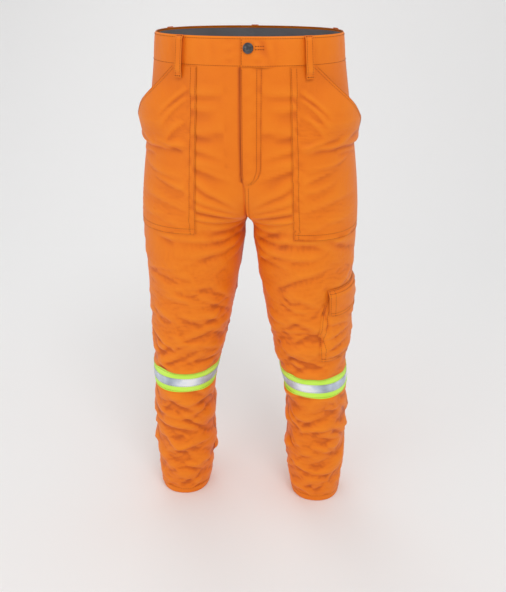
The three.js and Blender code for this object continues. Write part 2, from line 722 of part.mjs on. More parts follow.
// ---- Cargo pocket on the wearer's left thigh: a bellows pouch, its flap and the closing strips ----
const CARGO_TOP = -452;
const CARGO_BOTTOM = -612;
const CARGO_FRONT = 0.66;
const CARGO_FRONT_BOTTOM = 0.57;
const CARGO_BACK = 1.16;
const CARGO_ROOM = 12;
const cargoFront = (z) =>
  CARGO_FRONT + ((CARGO_FRONT_BOTTOM - CARGO_FRONT) * (CARGO_TOP - z)) / (CARGO_TOP - CARGO_BOTTOM);
const cargoPatch = (top, bottom, wall, inner, outer) =>
  cloth(
    LEFT,
    steps(top, bottom, 5),
    between((z) => cargoFront(z) + wall, CARGO_BACK - wall, 6),
    inner,
    outer,
  );
const CARGO_WALL = 0.016; // in across units
const cargoOuter = LAYER_GAP + CARGO_ROOM + 2;
add(
  "cargo_pocket",
  cut(
    cargoPatch(CARGO_TOP, CARGO_BOTTOM, 0, LAYER_GAP, cargoOuter),
    cargoPatch(CARGO_TOP + 4, CARGO_BOTTOM + 4, CARGO_WALL, LAYER_GAP - 2, LAYER_GAP + CARGO_ROOM),
  ),
  orange,
);
const FLAP_TOP = CARGO_TOP + 6;
const FLAP_BOTTOM = FLAP_TOP - 57;
const STRIP = 1.2;
const loopStripInner = cargoOuter + LAYER_GAP;
const hookStripInner = loopStripInner + STRIP + GAP;
const flapInner = hookStripInner + STRIP + LAYER_GAP;
const FLAP_MARGIN = 0.015; // how far the flap passes the pouch at each end, in across units
add(
  "cargo_flap",
  cloth(
    LEFT,
    steps(FLAP_TOP, FLAP_BOTTOM, 3),
    between(CARGO_FRONT - FLAP_MARGIN, CARGO_BACK + FLAP_MARGIN, 6),
    flapInner,
    flapInner + CLOTH,
  ),
  orange,
);
const STRIP_TOP = FLAP_BOTTOM + 30;
const STRIP_BOTTOM = FLAP_BOTTOM + 8;
const STRIP_SIDES = [0.84, 0.98]; // across values
const strip = (inner) =>
  cloth(LEFT, [STRIP_TOP, STRIP_BOTTOM], between(...STRIP_SIDES, 4), inner, inner + STRIP);
add("flap_hook_strip", strip(hookStripInner), darkStrip);
add("pocket_loop_strip", strip(loopStripInner), darkStrip);

// ---- Lining: one skin inside the seat's halves and one tube down each leg ----
const LINING_OUTER = -CLOTH - WADDING;
const LINING_TOP = BAND_BOTTOM - 6;
const LINING_CLEAR_X = 40; // the seat lining stays clear of the fly
const liningInner = (z) =>
  acrossAt(CENTRE_CLEAR + 1 + LINING_CLEAR_X * (1 - smooth(-FLY_DROP + 10, -FLY_DROP - 20, z)), z);
for (const [name, side] of SIDES) {
  add(
    `${name}_seat_lining`,
    cloth(
      side,
      [LINING_TOP, ...SEAT_HEIGHTS.slice(1, -1)],
      (z) => [
        ...steps(liningInner(z), 1, 9),
        ...steps(1, 2 - acrossAt(CENTRE_CLEAR + 1, z), 9).slice(1),
      ],
      LINING_OUTER - LINING,
      LINING_OUTER,
    ),
    liningGrey,
  );
  add(
    `${name}_leg_lining`,
    cloth(
      side,
      steps(CROTCH - 10, HEM_TOP + 4, 9),
      around(LEG_COLUMNS),
      LINING_OUTER - LINING,
      LINING_OUTER,
      true,
    ),
    liningGrey,
  );
}

export default trousers;
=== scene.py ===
import math

import bpy
import numpy as np
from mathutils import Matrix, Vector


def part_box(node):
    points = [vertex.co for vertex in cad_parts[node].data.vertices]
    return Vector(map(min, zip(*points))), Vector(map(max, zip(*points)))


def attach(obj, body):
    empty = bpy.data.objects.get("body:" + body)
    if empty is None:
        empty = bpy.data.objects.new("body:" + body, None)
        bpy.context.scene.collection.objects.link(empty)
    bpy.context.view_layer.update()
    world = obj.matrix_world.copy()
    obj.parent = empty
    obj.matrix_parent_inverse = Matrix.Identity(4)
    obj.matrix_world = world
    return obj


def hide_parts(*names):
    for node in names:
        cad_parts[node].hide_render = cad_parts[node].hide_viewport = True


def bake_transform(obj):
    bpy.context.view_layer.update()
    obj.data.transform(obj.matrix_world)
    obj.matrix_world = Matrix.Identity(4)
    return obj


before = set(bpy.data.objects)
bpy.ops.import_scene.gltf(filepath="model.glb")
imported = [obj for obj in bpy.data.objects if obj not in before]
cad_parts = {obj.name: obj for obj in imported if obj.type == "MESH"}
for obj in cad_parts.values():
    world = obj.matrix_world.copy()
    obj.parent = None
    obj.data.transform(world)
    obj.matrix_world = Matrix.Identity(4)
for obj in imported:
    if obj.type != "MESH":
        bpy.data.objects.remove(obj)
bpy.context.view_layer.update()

# ---- Camera and stage ----
# A pale floor under the hems, a pale backdrop, three soft lights, and a camera above waist height
# that looks down at the trousers from a little to the wearer's left.
HEM_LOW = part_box("left_hem")[0].z
CAMERA_DISTANCE = 1.3
CAMERA_HEIGHT = 0.104
CAMERA_TURN = math.radians(5)
CAMERA_TILT = math.radians(25.2)
CAMERA_SIDE = 0.0064
camera_data = bpy.data.cameras.new("camera")
camera_data.lens = 42.93
camera = bpy.data.objects.new("camera", camera_data)
bpy.context.collection.objects.link(camera)
camera.location = (
    CAMERA_DISTANCE * math.sin(CAMERA_TURN) + CAMERA_SIDE,
    -CAMERA_DISTANCE * math.cos(CAMERA_TURN),
    CAMERA_HEIGHT,
)
camera.rotation_euler = (math.pi / 2 - CAMERA_TILT, 0, CAMERA_TURN)
bpy.context.scene.camera = camera
bpy.context.scene.view_settings.view_transform = "Standard"


class Wire:
    """A node's output. Used in an expression, it adds the Math nodes that work the expression out."""

    def __init__(self, finish, socket):
        self.finish = finish
        self.socket = socket

    def math(self, operation, *others):
        inputs = dict(enumerate([self, *others]))
        return self.finish.add("ShaderNodeMath", {"operation": operation}, inputs)

    def __add__(self, other):
        return self.math("ADD", other)

    def __sub__(self, other):
        return self.math("SUBTRACT", other)

    def __mul__(self, other):
        return self.math("MULTIPLY", other)

    def __rsub__(self, other):
        return self.math("MULTIPLY", -1.0).math("ADD", other)

    __radd__ = __add__
    __rmul__ = __mul__


class Finish:
    """A material as it is built up: add() makes one node, and surface() sets the shader's sockets."""

    def __init__(self, name):
        self.material = bpy.data.materials.new(name)
        self.material.use_nodes = True
        self.tree = self.material.node_tree
        self.shader = self.tree.nodes["Principled BSDF"]

    def add(self, kind, settings, inputs, output=0):
        node = self.tree.nodes.new(kind)
        for key, value in settings.items():
            if key == "stops":
                ramp = node.color_ramp.elements
                while len(ramp) < len(value):
                    ramp.new(0.5)
                for element, (place, colour) in zip(ramp, value):
                    element.position = place
                    element.color = (*colour, 1)
            else:
                setattr(node, key, value)
        for key, value in inputs.items():
            self.feed(node.inputs[key], value)
        return Wire(self, node.outputs[output])

    def feed(self, socket, value):
        if isinstance(value, Wire):
            self.tree.links.new(value.socket, socket)
        else:
            socket.default_value = value

    def surface(self, **sockets):
        for name, value in sockets.items():
            self.feed(self.shader.inputs[name.replace("_", " ")], value)
        return self.material


def put_in_scene(name, mesh, material):
    piece = bpy.data.objects.new(name, mesh)
    bpy.context.collection.objects.link(piece)
    mesh.materials.append(material)
    return piece


floor_paint = Finish("floor_paint")
floor_paint.surface(Base_Color=(0.90, 0.90, 0.90, 1), Roughness=0.9)
sweep = [(-4.0, 0.0), (1.4, 0.0)] + [
    (1.4 + 1.2 * math.sin(k * math.pi / 24), 1.2 - 1.2 * math.cos(k * math.pi / 24)) for k in range(1, 13)
] + [(2.6, 4.0)]
floor_mesh = bpy.data.meshes.new("floor")
floor_mesh.from_pydata(
    [(x, y, z + HEM_LOW - 0.0005) for y, z in sweep for x in (-5.0, 5.0)],
    [],
    [(2 * k, 2 * k + 1, 2 * k + 3, 2 * k + 2) for k in range(len(sweep) - 1)],
)
floor_mesh.polygons.foreach_set("use_smooth", [True] * len(floor_mesh.polygons))
floor = put_in_scene("floor", floor_mesh, floor_paint.material)

world = bpy.context.scene.world or bpy.data.worlds.new("world")
bpy.context.scene.world = world
world.use_nodes = True
world.node_tree.nodes["Background"].inputs["Color"].default_value = (1, 1, 1, 1)
world.node_tree.nodes["Background"].inputs["Strength"].default_value = 0.72
for name, power, size, place, aim in [
    ("key_light", 19, 1.0, (0.7, -1.7, 1.9), (0, 0, -0.45)),
    ("fill_light", 6, 1.6, (-1.5, -1.9, -0.1), (0, 0, -0.55)),
    ("rim_light", 8, 1.4, (-0.8, 2.0, 1.2), (0, 0, -0.4)),
]:
    lamp = bpy.data.lights.new(name, "AREA")
    lamp.energy = power
    lamp.size = size
    light = bpy.data.objects.new(name, lamp)
    bpy.context.collection.objects.link(light)
    light.location = place
    gaze = [a - b for a, b in zip(aim, place)]
    flat = math.hypot(gaze[0], gaze[1])
    light.rotation_euler = (math.atan2(flat, -gaze[2]), 0, math.atan2(-gaze[0], gaze[1]))

# ---- Shell cloth ----
# Light nylon backed with thin wadding, cut as a front and a back for each leg and sewn at the side
# seam, the inseam and the rise. The grid of threads is relaxed over the body's surface, and creases
# are then pressed into it: the large ones at chosen places, the small ones at seeded random places.
MM = 0.001
CROTCH = -325 * MM
WAIST_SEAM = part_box("left_back_seat_panel")[1].z
SIDES = {"left": 1, "right": -1}
# The body under the cloth: height, inner edge, outer edge, front depth and back depth of each half, in mm.
STATIONS = np.array([
    (0, -163, 163, 114, 113),
    (-46, -168, 168, 119, 122),
    (-110, -175, 178, 121, 136),
    (-188, -160, 190, 121, 146),
    (-254, -100, 199, 118, 142),
    (-299, -42, 203, 112, 130),
    (-325, 0, 204, 108, 121),
    (-376, 9, 204, 103, 108),
    (-440, 20, 202, 98, 98),
    (-516, 33, 201, 92, 90),
    (-580, 47, 201, 87, 80),
    (-645, 62, 202, 82, 74),
    (-701, 75, 204, 74, 76),
    (-782, 80, 208, 66, 84),
    (-872, 81, 210, 60, 80),
    (-940, 88, 206, 56, 70),
    (-985, 97, 201, 50, 60),
]) * MM
OVAL = 2 / 2.2


def stations_at(z):
    """The four measures of the body's section at each height, by smooth curves through the stations."""
    heights = STATIONS[:, 0]
    z = np.clip(z, heights[-1], heights[0])
    k = np.clip(np.searchsorted(-heights, -z, side="right") - 1, 0, len(heights) - 2)
    slopes = np.empty_like(STATIONS[:, 1:])
    slopes[1:-1] = (STATIONS[2:, 1:] - STATIONS[:-2, 1:]) / (heights[2:] - heights[:-2])[:, None]
    slopes[0] = (STATIONS[1, 1:] - STATIONS[0, 1:]) / (heights[1] - heights[0])
    slopes[-1] = (STATIONS[-1, 1:] - STATIONS[-2, 1:]) / (heights[-1] - heights[-2])
    span = heights[k + 1] - heights[k]
    t = ((z - heights[k]) / span)[..., None]
    span = span[..., None]
    return (
        (2 * t**3 - 3 * t**2 + 1) * STATIONS[k, 1:]
        + (t**3 - 2 * t**2 + t) * span * slopes[k]
        + (3 * t**2 - 2 * t**3) * STATIONS[k + 1, 1:]
        + (t**3 - t**2) * span * slopes[k + 1]
    )


def signed_power(value, power):
    return np.sign(value) * np.abs(value) ** power


def section(z):
    """Centre, half sizes and cutting angle of one half's oval."""
    inner, outer, front, back = np.moveaxis(stations_at(z), -1, 0)
    cx, a = (inner + outer) / 2, (outer - inner) / 2
    cut = np.where(z < CROTCH, np.pi, np.arccos(np.clip(-signed_power(cx / a, 1 / OVAL), -1, 1)))
    return cx, (back - front) / 2, a, (front + back) / 2, cut


def bare(across, z):
    """A point of the left half: across is 0 at the centre front, 1 at the side seam, 2 at the back."""
    across, z = np.broadcast_arrays(np.asarray(across, float), np.asarray(z, float))
    cx, cy, a, b, cut = section(z)
    angle = cut * (1 - across)
    x = cx + a * signed_power(np.cos(angle), OVAL)
    y = cy - b * signed_power(np.sin(angle), OVAL)
    return np.stack([x, y, z], -1)


def outward(across, z):
    d = 1e-3
    along = bare(across + d, z) - bare(across - d, z)
    down = bare(across, z - MM) - bare(across, z + MM)
    n = np.cross(down, along)
    n /= np.linalg.norm(n, axis=-1, keepdims=True)
    near = np.clip(np.abs(bare(across, z)[..., 0]) / (15 * MM), 0, 1)
    n[..., 0] *= np.where(z > CROTCH, near, 1)
    return n / np.linalg.norm(n, axis=-1, keepdims=True)


def skin(side, across, z, lift):
    p = bare(across, z) + outward(across, z) * np.asarray(lift)[..., None]
    return p * (side, 1, 1)


def across_at(x, z):
    """The across value of the front at a distance x from the centre plane."""
    cx, _, a, _, cut = section(np.asarray(z, float))
    return 1 - np.arccos(np.clip(signed_power((x - cx) / a, 1 / OVAL), -1, 1)) / cut


def smooth(start, end, value):
    t = np.clip((value - start) / (end - start), 0, 1)
    return t * t * (3 - 2 * t)


# The grid of each half: rows crowd together where the rise turns under the body.
ROWS = np.concatenate([
    np.arange(WAIST_SEAM, -286 * MM, -4.3 * MM),
    np.arange(-288 * MM, -332 * MM, -2.4 * MM),
    np.linspace(-335 * MM, HEM_LOW, 186),
])
COLUMNS = 168
SIDE_SEAM = COLUMNS // 2
FLY_WIDTH = 31 * MM
FLY_LOW = -214 * MM
FLY_KNOT = 14  # the column that follows the fly's inner edge
BAND_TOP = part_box("left_lime_tape")[1].z
BAND_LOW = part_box("left_lime_tape")[0].z
CARGO_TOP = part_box("cargo_flap")[1].z
CARGO_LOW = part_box("cargo_pocket")[0].z


def half_columns(side):
    """The across value of every grid point of one half. By the fly a column follows the opening's edge."""
    across = np.tile(np.linspace(0, 2, COLUMNS + 1), (len(ROWS), 1))
    held = 1 - smooth(-FLY_LOW, -FLY_LOW + 40 * MM, -ROWS)
    if side > 0:
        shift = (across_at(FLY_WIDTH, ROWS) - across[:, FLY_KNOT]) * held
        reach = np.concatenate([np.linspace(0, 1, FLY_KNOT + 1), np.linspace(1, 0, 30)[1:]])
        across[:, : len(reach)] += shift[:, None] * reach
    else:
        tuck = across_at(-7 * MM, ROWS) * (1 - smooth(-FLY_LOW, -FLY_LOW + 20 * MM, -ROWS))
        across[:, :6] += tuck[:, None] * np.linspace(1, 0, 6)
    return across


def waves(across, z, seed):
    """Uneven slanting waves, up to about 1 high, that set where the cloth first stands out."""
    rng = np.random.default_rng(seed)
    around = (across - 1) * 0.30
    total = np.zeros(np.broadcast(across, z).shape)
    for _ in range(40):
        lean = rng.choice([-1, 1]) * rng.uniform(0.05, 0.55)
        wave = rng.uniform(26 * MM, 60 * MM)
        phase = rng.uniform(0, 2 * math.pi)
        place = (around * math.sin(lean) + z * math.cos(lean)) * (2 * math.pi / wave)
        patch = np.sin(around * rng.uniform(15, 45) + rng.uniform(0, 6.28) + z * rng.uniform(-12, 12))
        total += np.sin(place + phase) * np.clip(patch, 0, 1)
    return total / 8


def relax(start, natural, extra_down, extra_round, hold, inward, outward_limit, facing, rounds, wrap=None,
          reach=(4, 7)):
    """Drapes a grid of cloth: every thread keeps its own length, bending is resisted over two cells and
    over each reach, and the cloth stays between the body under it and a loose outer limit."""
    place = start.astype(np.float32)
    before = place.copy()
    home = natural.astype(np.float32)
    facing = facing.astype(np.float32)
    free = (1 - np.clip(hold, 0, 1)).astype(np.float32)[..., None]
    back = (hold * 0.5).astype(np.float32)[..., None]

    def thread(dr, dc, share, one_way):
        a = (slice(None), slice(max(0, -dr), place.shape[1] - max(0, dr)), slice(0, place.shape[2] - dc))
        b = (slice(None), slice(max(0, dr), place.shape[1] - max(0, -dr)), slice(dc, None))
        down = 1 + (extra_down[a] + extra_down[b]) / 2
        across = 1 + (extra_round[a] + extra_round[b]) / 2
        gap = home[b] - home[a]
        tall = gap[..., 2] * down
        flat = np.linalg.norm(gap[..., :2], axis=-1) * across
        length = np.sqrt(tall**2 + flat**2).astype(np.float32)
        if one_way:
            length = length * 0.985
        return a, b, length, np.float32(share), one_way

    threads = [
        thread(1, 0, 0.34, False), thread(0, 1, 0.34, False),
        thread(1, 1, 0.12, False), thread(-1, 1, 0.12, False),
        thread(2, 0, 0.10, True), thread(0, 2, 0.10, True),
        *[thread(*way, 0.07, True) for n in reach for way in ((n, 0), (0, n))],
    ]
    sag = np.float32(-0.004 * MM)
    for _ in range(rounds):
        step = np.zeros_like(place)
        for a, b, length, share, one_way in threads:
            gap = place[b] - place[a]
            size = np.sqrt((gap * gap).sum(-1))
            wrong = (size - length) / np.maximum(size, 1e-6) * (0.5 * share)
            if one_way:
                wrong = np.minimum(wrong, 0)
            move = gap * wrong[..., None]
            step[a] += move
            step[b] -= move
        step[..., 2] += sag
        drift = (place - before) * np.float32(0.88)
        before = place
        place = place + (step + drift) * free + (home - place) * back
        lift = ((place - home) * facing).sum(-1)
        over = np.clip(lift, -inward, outward_limit) - lift
        place = place + facing * over[..., None]
        if wrap is not None:
            middle = (place[wrap, 0] + place[wrap, -1]) / 2
            place[wrap, 0] = middle
            place[wrap, -1] = middle
    return place.astype(float)


def shell_hold(across, z, side):
    """How firmly the cloth keeps its place: waist, rise and fly fully, under patches firmly, else loosely."""
    hold = 0.004 + 0.03 * (1 - smooth(220 * MM, 320 * MM, -z)) + 0 * across
    x = bare(across, z)[..., 0]
    hold[(across < 0.985) & (x > 88 * MM) & (z > -330 * MM)] = 0.3
    hold[(z < BAND_TOP) & (z > BAND_LOW)] = 0.12
    if side > 0:
        hold[(across > 0.62) & (across < 1.14) & (z < CARGO_TOP) & (z > CARGO_LOW)] = 0.12
    hold[z < HEM_LOW + 16 * MM] = 0.08
    hold[np.abs(across - 1) < 0.012] = 0.02
    hold[(across < across_at(FLY_WIDTH, z)) & (z > FLY_LOW)] = 1
    hold[z > WAIST_SEAM - 2 * MM] = 1
    hold[((across < 0.001) | (across > 1.999)) & (z > CROTCH - 1 * MM)] = 1
    return hold


CUT_LONGER = np.array([  # drop below the waist in mm, share by which the cloth is cut longer there
    (46, 0.0), (120, 0.002), (220, 0.002), (290, 0.006), (340, 0.012), (450, 0.012), (560, 0.020),
    (640, 0.028), (647, 0.0), (699, 0.0), (706, 0.028), (820, 0.026), (930, 0.020), (962, 0.01), (985, 0.0),
])
across_grid = np.stack([half_columns(side) for side in SIDES.values()])
z_grid = np.broadcast_to(ROWS[None, :, None], across_grid.shape)
mirror = np.array([[side, 1, 1] for side in SIDES.values()])[:, None, None, :]
body_form = bare(across_grid, z_grid) * mirror
facing = outward(across_grid, z_grid) * mirror
longer = np.interp(-z_grid / MM, CUT_LONGER[:, 0], CUT_LONGER[:, 1])
first_waves = np.stack([waves(across_grid[k], z_grid[k], 11 + k) for k in range(2)])
hold = np.stack([shell_hold(across_grid[k], z_grid[k], side) for k, side in enumerate(SIDES.values())])
loose = 1 - np.clip(hold * 12, 0, 1)
ring_rows = np.zeros((2, len(ROWS)), bool)
ring_rows[:, ROWS < CROTCH - 1 * MM] = True
shell = body_form + facing * (first_waves * loose * 3 * MM)[..., None]
draped = relax(
    shell, body_form, longer, np.full_like(longer, 0.012), hold, 2.5 * MM, 9 * MM, facing, 260, ring_rows
)

round_body = bare(np.linspace(0, 2, 201)[None, :], ROWS[:, None])
half_girth = np.linalg.norm(np.diff(round_body, axis=1), axis=-1).sum(1) / 2
grid_girth = np.interp(-z_grid, -ROWS, half_girth)


def crease_shape(across, z, girth, start, end, bow, width):
    """A step of height 1 along a bowed line between two (across, z mm) places, fading to each side."""
    along = np.interp(-np.array([start[1], end[1]]) * MM, -ROWS, half_girth)
    a = np.array([(start[0] - 1) * along[0], start[1] * MM])
    b = np.array([(end[0] - 1) * along[1], end[1] * MM])
    length = np.linalg.norm(b - a)
    way = (b - a) / length
    right, up = (across - 1) * girth - a[0], z - a[1]
    t = (right * way[0] + up * way[1]) / length
    off = (up * way[0] - right * way[1]) * np.sign(way[0] or 1)
    off = off - bow * MM * np.sin(np.pi * np.clip(t, 0, 1))
    fade = np.sin(np.pi * np.clip(t, 0, 1) ** 0.7) ** 0.8 * ((t > 0) & (t < 1))
    return np.tanh(off / (width * MM) + 0.4) * np.exp(-np.abs(off) / (4.5 * width * MM)) * fade


def crease(side, start, end, bow, width, height):
    """Presses one crease into the shell: the cloth above the line stands out and that below sinks in."""
    k = 0 if side > 0 else 1
    shape = crease_shape(across_grid[k], z_grid[k], grid_girth[k], start, end, bow, width)
    loose = (hold[k] < 0.05) * (1 - FLATTENED * covered[k])
    draped[k] += facing[k] * (shape * height * MM * loose)[..., None]


FLATTENED = 0.8  # the share of a crease that is lost under the front pockets
covered = smooth(0.35, 0.39, across_grid) * (across_grid < 1) * smooth(-348 * MM, -332 * MM, z_grid)
SEAT_FOLDS = [  # (across, z mm) at each end, bow, width, height: the crotch's rays, then softer level ones
    ((0.03, -300), (0.60, -222), -7, 3.0, 2.6), ((0.03, -312), (0.66, -250), -9, 3.0, 3.2),
    ((0.03, -322), (0.72, -282), -9, 3.0, 3.4), ((0.03, -332), (0.72, -314), -8, 3.0, 3.2),
    ((0.04, -344), (0.68, -346), -9, 3.0, 3.0), ((0.05, -286), (0.36, -216), -4, 2.6, 2.0),
    ((0.06, -360), (0.58, -384), -8, 3.0, 2.8), ((0.08, -308), (0.44, -270), -3, 2.6, 2.2),
    ((0.40, -340), (0.14, -343), 4, 2.6, 2.0), ((0.35, -90), (0.08, -88), -2, 2.8, 2.2),
    ((0.35, -110), (0.12, -114), -3, 3.0, 1.7), ((0.04, -150), (0.30, -158), 3, 3.4, 1.3),
    ((0.36, -146), (0.14, -160), -3, 3.0, 1.8), ((0.36, -180), (0.08, -196), 3, 2.8, 2.0),
    ((0.34, -206), (0.08, -216), 4, 3.0, 1.6), ((0.38, -208), (0.06, -236), 4, 2.8, 2.4),
    ((1.95, -322), (1.40, -262), -8, 3.0, 2.0), ((1.95, -332), (1.30, -306), -8, 3.0, 2.4),
    ((1.95, -350), (1.35, -362), -8, 3.0, 2.4), ((1.90, -120), (1.60, -128), 4, 4.0, 1.0),
    ((1.94, -250), (1.50, -212), -5, 4.0, 1.2),
]
DEEP_FOLDS = {  # the largest folds of each leg
    1: [((0.10, -560), (0.66, -540), 8, 3.0, 3.0), ((0.30, -600), (0.66, -628), 6, 3.0, 3.2),
        ((0.20, -880), (0.86, -896), -14, 3.2, 4.2), ((0.78, -720), (1.30, -880), 10, 3.6, 3.6),
        ((0.10, -735), (0.60, -770), -6, 2.8, 2.6), ((0.30, -800), (0.80, -782), 8, 3.0, 2.6)],
    -1: [((0.55, -592), (1.10, -560), 10, 3.2, 3.6), ((0.12, -618), (0.60, -632), 8, 2.8, 2.8),
         ((0.30, -806), (1.15, -792), 12, 3.4, 4.2), ((0.10, -838), (0.70, -868), 8, 3.2, 3.6),
         ((0.35, -772), (0.85, -742), -8, 2.8, 2.8), ((0.20, -905), (0.75, -915), 8, 3.0, 2.8)],
}
SMALL_FOLDS = ((-640, -345, 84, 2.8), (-645, -530, 30, 3.6), (-955, -703, 66, 4.2))  # z range, count, height
QUARTER_ROUND = 290  # mm of leg for each 1 of across, near enough for a crease's slant
for side in (1, -1):
    for start, end, bow, width, height in SEAT_FOLDS + DEEP_FOLDS[side]:
        crease(side, start, end, bow, width, height)
    rng = np.random.default_rng(40 + side)
    for low_z, high_z, count, tall in SMALL_FOLDS:
        for _ in range(count):
            place, z0 = rng.uniform(0.0, 1.9), rng.uniform(low_z, high_z)
            run, lean = rng.uniform(0.10, 0.42), rng.choice([-1, 1]) * rng.uniform(0.03, 0.55)
            drop = run * QUARTER_ROUND * math.tan(lean)
            crease(side, (place, z0), (place + run, z0 + drop), rng.uniform(-8, 8), rng.uniform(2.6, 4.2),
                   rng.uniform(0.35, 1.0) * tall)
billow = np.zeros(across_grid.shape)  # broad, uneven fullness of the padded legs
rng = np.random.default_rng(8)
for _ in range(16):
    size, turn, lean = rng.uniform(55, 95) * MM, rng.uniform(0, 6.28), rng.uniform(-0.5, 0.5)
    way = z_grid * math.cos(lean) + (across_grid - 1) * grid_girth * math.sin(lean)
    around = np.cos((across_grid - 1) * np.pi * rng.integers(1, 3) + rng.uniform(0, 6.28))
    billow += np.sin(way * 2 * math.pi / size + turn) * around
leg_part = smooth(340 * MM, 480 * MM, -z_grid) * (1 - smooth(925 * MM, 962 * MM, -z_grid))
leg_part = leg_part * (0.6 + 0.6 * smooth(520 * MM, 620 * MM, -z_grid)) * (hold < 0.05)
draped += facing * (billow * leg_part * 0.75 * MM)[..., None]
# One cell's smoothing takes the steps out of slanting creases.
near = np.pad(draped, ((0, 0), (1, 1), (1, 1), (0, 0)), mode="edge")
mean = (near[:, :-2, 1:-1] + near[:, 2:, 1:-1] + near[:, 1:-1, :-2] + near[:, 1:-1, 2:]) / 4
soft = ((hold < 0.9)[..., None]) * 0.5
soft[:, :, [0, -1]] = 0
draped += (mean - draped) * soft
draped[ring_rows, 0] = draped[ring_rows, -1] = (draped[ring_rows, 0] + draped[ring_rows, -1]) / 2
DEEPEST, HIGHEST = -3.2 * MM, 10 * MM
spare = ((draped - body_form) * facing).sum(-1)
draped += facing * (np.clip(spare, DEEPEST, HIGHEST) - spare)[..., None]


def unit(v):
    return v / np.maximum(np.linalg.norm(v, axis=-1, keepdims=True), 1e-9)


def grid_normals(grid, side, wrap=False):
    """Outward normals of a grid whose rows go down and whose columns go round from the front."""
    if wrap:
        grid = np.concatenate([grid[:, -2:-1], grid, grid[:, 1:2]], 1)
    n = unit(np.cross(np.gradient(grid, axis=0), np.gradient(grid, axis=1))) * side
    return n[:, 1:-1] if wrap else n


def hollows(grid, normals):
    """0.5 on flat cloth, towards 1 on a raised fold and towards 0 in a valley: the measure behind the painted
    fold shading.
    """
    total = np.zeros(grid.shape[:2])
    for reach in (2, 4):
        wide = np.pad(grid, ((reach, reach), (reach, reach), (0, 0)), mode="edge")
        rows, columns = grid.shape[:2]
        for dr, dc in ((0, 1), (2, 1), (1, 0), (1, 2)):
            near = wide[dr * reach : dr * reach + rows, dc * reach : dc * reach + columns]
            total += ((grid - near) * normals).sum(-1)
    return 0.5 + 0.5 * np.tanh(total / (10 * MM))


def arc_map(natural):
    """Distances in metres along the rows and down the columns of the uncreased cloth."""
    round_ = np.linalg.norm(np.diff(natural, axis=1), axis=-1)
    down = np.linalg.norm(np.diff(natural, axis=0), axis=-1)
    u = np.pad(np.cumsum(round_, 1), ((0, 0), (1, 0)))
    v = np.pad(np.cumsum(down, 0), ((1, 0), (0, 0)))
    return u, v


def cloth_mesh(name, outer, natural, thickness, side, mask, normals, wrap, seam=None):
    """A closed sheet: the outer grid, an inner one below it, and a rim along every free edge."""
    rows, columns = outer.shape[:2]
    count = rows * columns
    inner = outer - normals * np.broadcast_to(thickness, (rows, columns))[..., None]
    index = np.arange(count).reshape(rows, columns)
    cells = np.stack([index[:-1, :-1], index[1:, :-1], index[1:, 1:], index[:-1, 1:]], -1)
    quads = cells.reshape(-1, 4) if mask is None else cells[mask]
    if side < 0:
        quads = quads[:, ::-1]
    same = np.arange(2 * count)
    if wrap:
        same[index[:, -1]] = index[:, 0]
        same[index[:, -1] + count] = index[:, 0] + count
    edges = np.concatenate([quads[:, [k, (k + 1) % 4]] for k in range(4)])
    joined = same[edges]
    lone = edges[~np.isin(joined[:, 0] * count + joined[:, 1], joined[:, 1] * count + joined[:, 0])]
    rim = np.stack([lone[:, 1], lone[:, 0], lone[:, 0] + count, lone[:, 1] + count], -1)
    raw = np.concatenate([quads, quads[:, ::-1] + count, rim])
    used, faces = np.unique(same[raw], return_inverse=True)
    points = np.concatenate([outer.reshape(-1, 3), inner.reshape(-1, 3)])[used]
    mesh = bpy.data.meshes.new(name)
    mesh.from_pydata(points.tolist(), [], faces.reshape(-1, 4).tolist())
    u, v = arc_map(natural)
    chart = np.stack([u.ravel(), v.ravel()], -1)[raw.ravel() % count]
    mesh.uv_layers.new(name="UVMap").data.foreach_set("uv", chart.astype(np.float32).ravel())
    # Painted light and shade: this fold value darkens the cloth's colour in valleys and lightens it on raised
    # folds.
    ridge = np.tile(hollows(outer, normals).ravel(), 2)[used]
    mesh.attributes.new("ridge", "FLOAT", "POINT").data.foreach_set("value", ridge.astype(np.float32))
    # Painted shade along the seams and beside the fly cover's free edge, stored for the colour to darken.
    if seam is not None:
        dark = np.tile(np.broadcast_to(seam, (rows, columns)).ravel(), 2)[used]
        mesh.attributes.new("seam", "FLOAT", "POINT").data.foreach_set("value", dark.astype(np.float32))
    turned = np.concatenate([normals.reshape(-1, 3), -normals.reshape(-1, 3)])[used]
    mesh.polygons.foreach_set("use_smooth", [True] * len(mesh.polygons))
    mesh.normals_split_custom_set_from_vertices(turned.tolist())
    return mesh


def sew(name, outer, natural, thickness, side, finish, nodes,
        mask=None, normals=None, wrap=False, slack=(0, 0), seam=None):
    if normals is None:
        normals = grid_normals(outer, side, wrap)
    mesh = cloth_mesh(name, outer, natural, thickness, side, mask, normals, wrap, seam)
    piece = put_in_scene(name, mesh, finish.material)
    across, down = 1 + np.mean(slack[1]), 1 + np.mean(slack[0])
    edge_down, edge_round = natural[1:, :-1] - natural[:-1, :-1], natural[:-1, 1:] - natural[:-1, :-1]
    cell = np.linalg.norm(np.cross(edge_down, edge_round), axis=-1)
    area = (cell if mask is None else cell[mask]).sum() * across * down
    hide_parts(*nodes)
    return piece


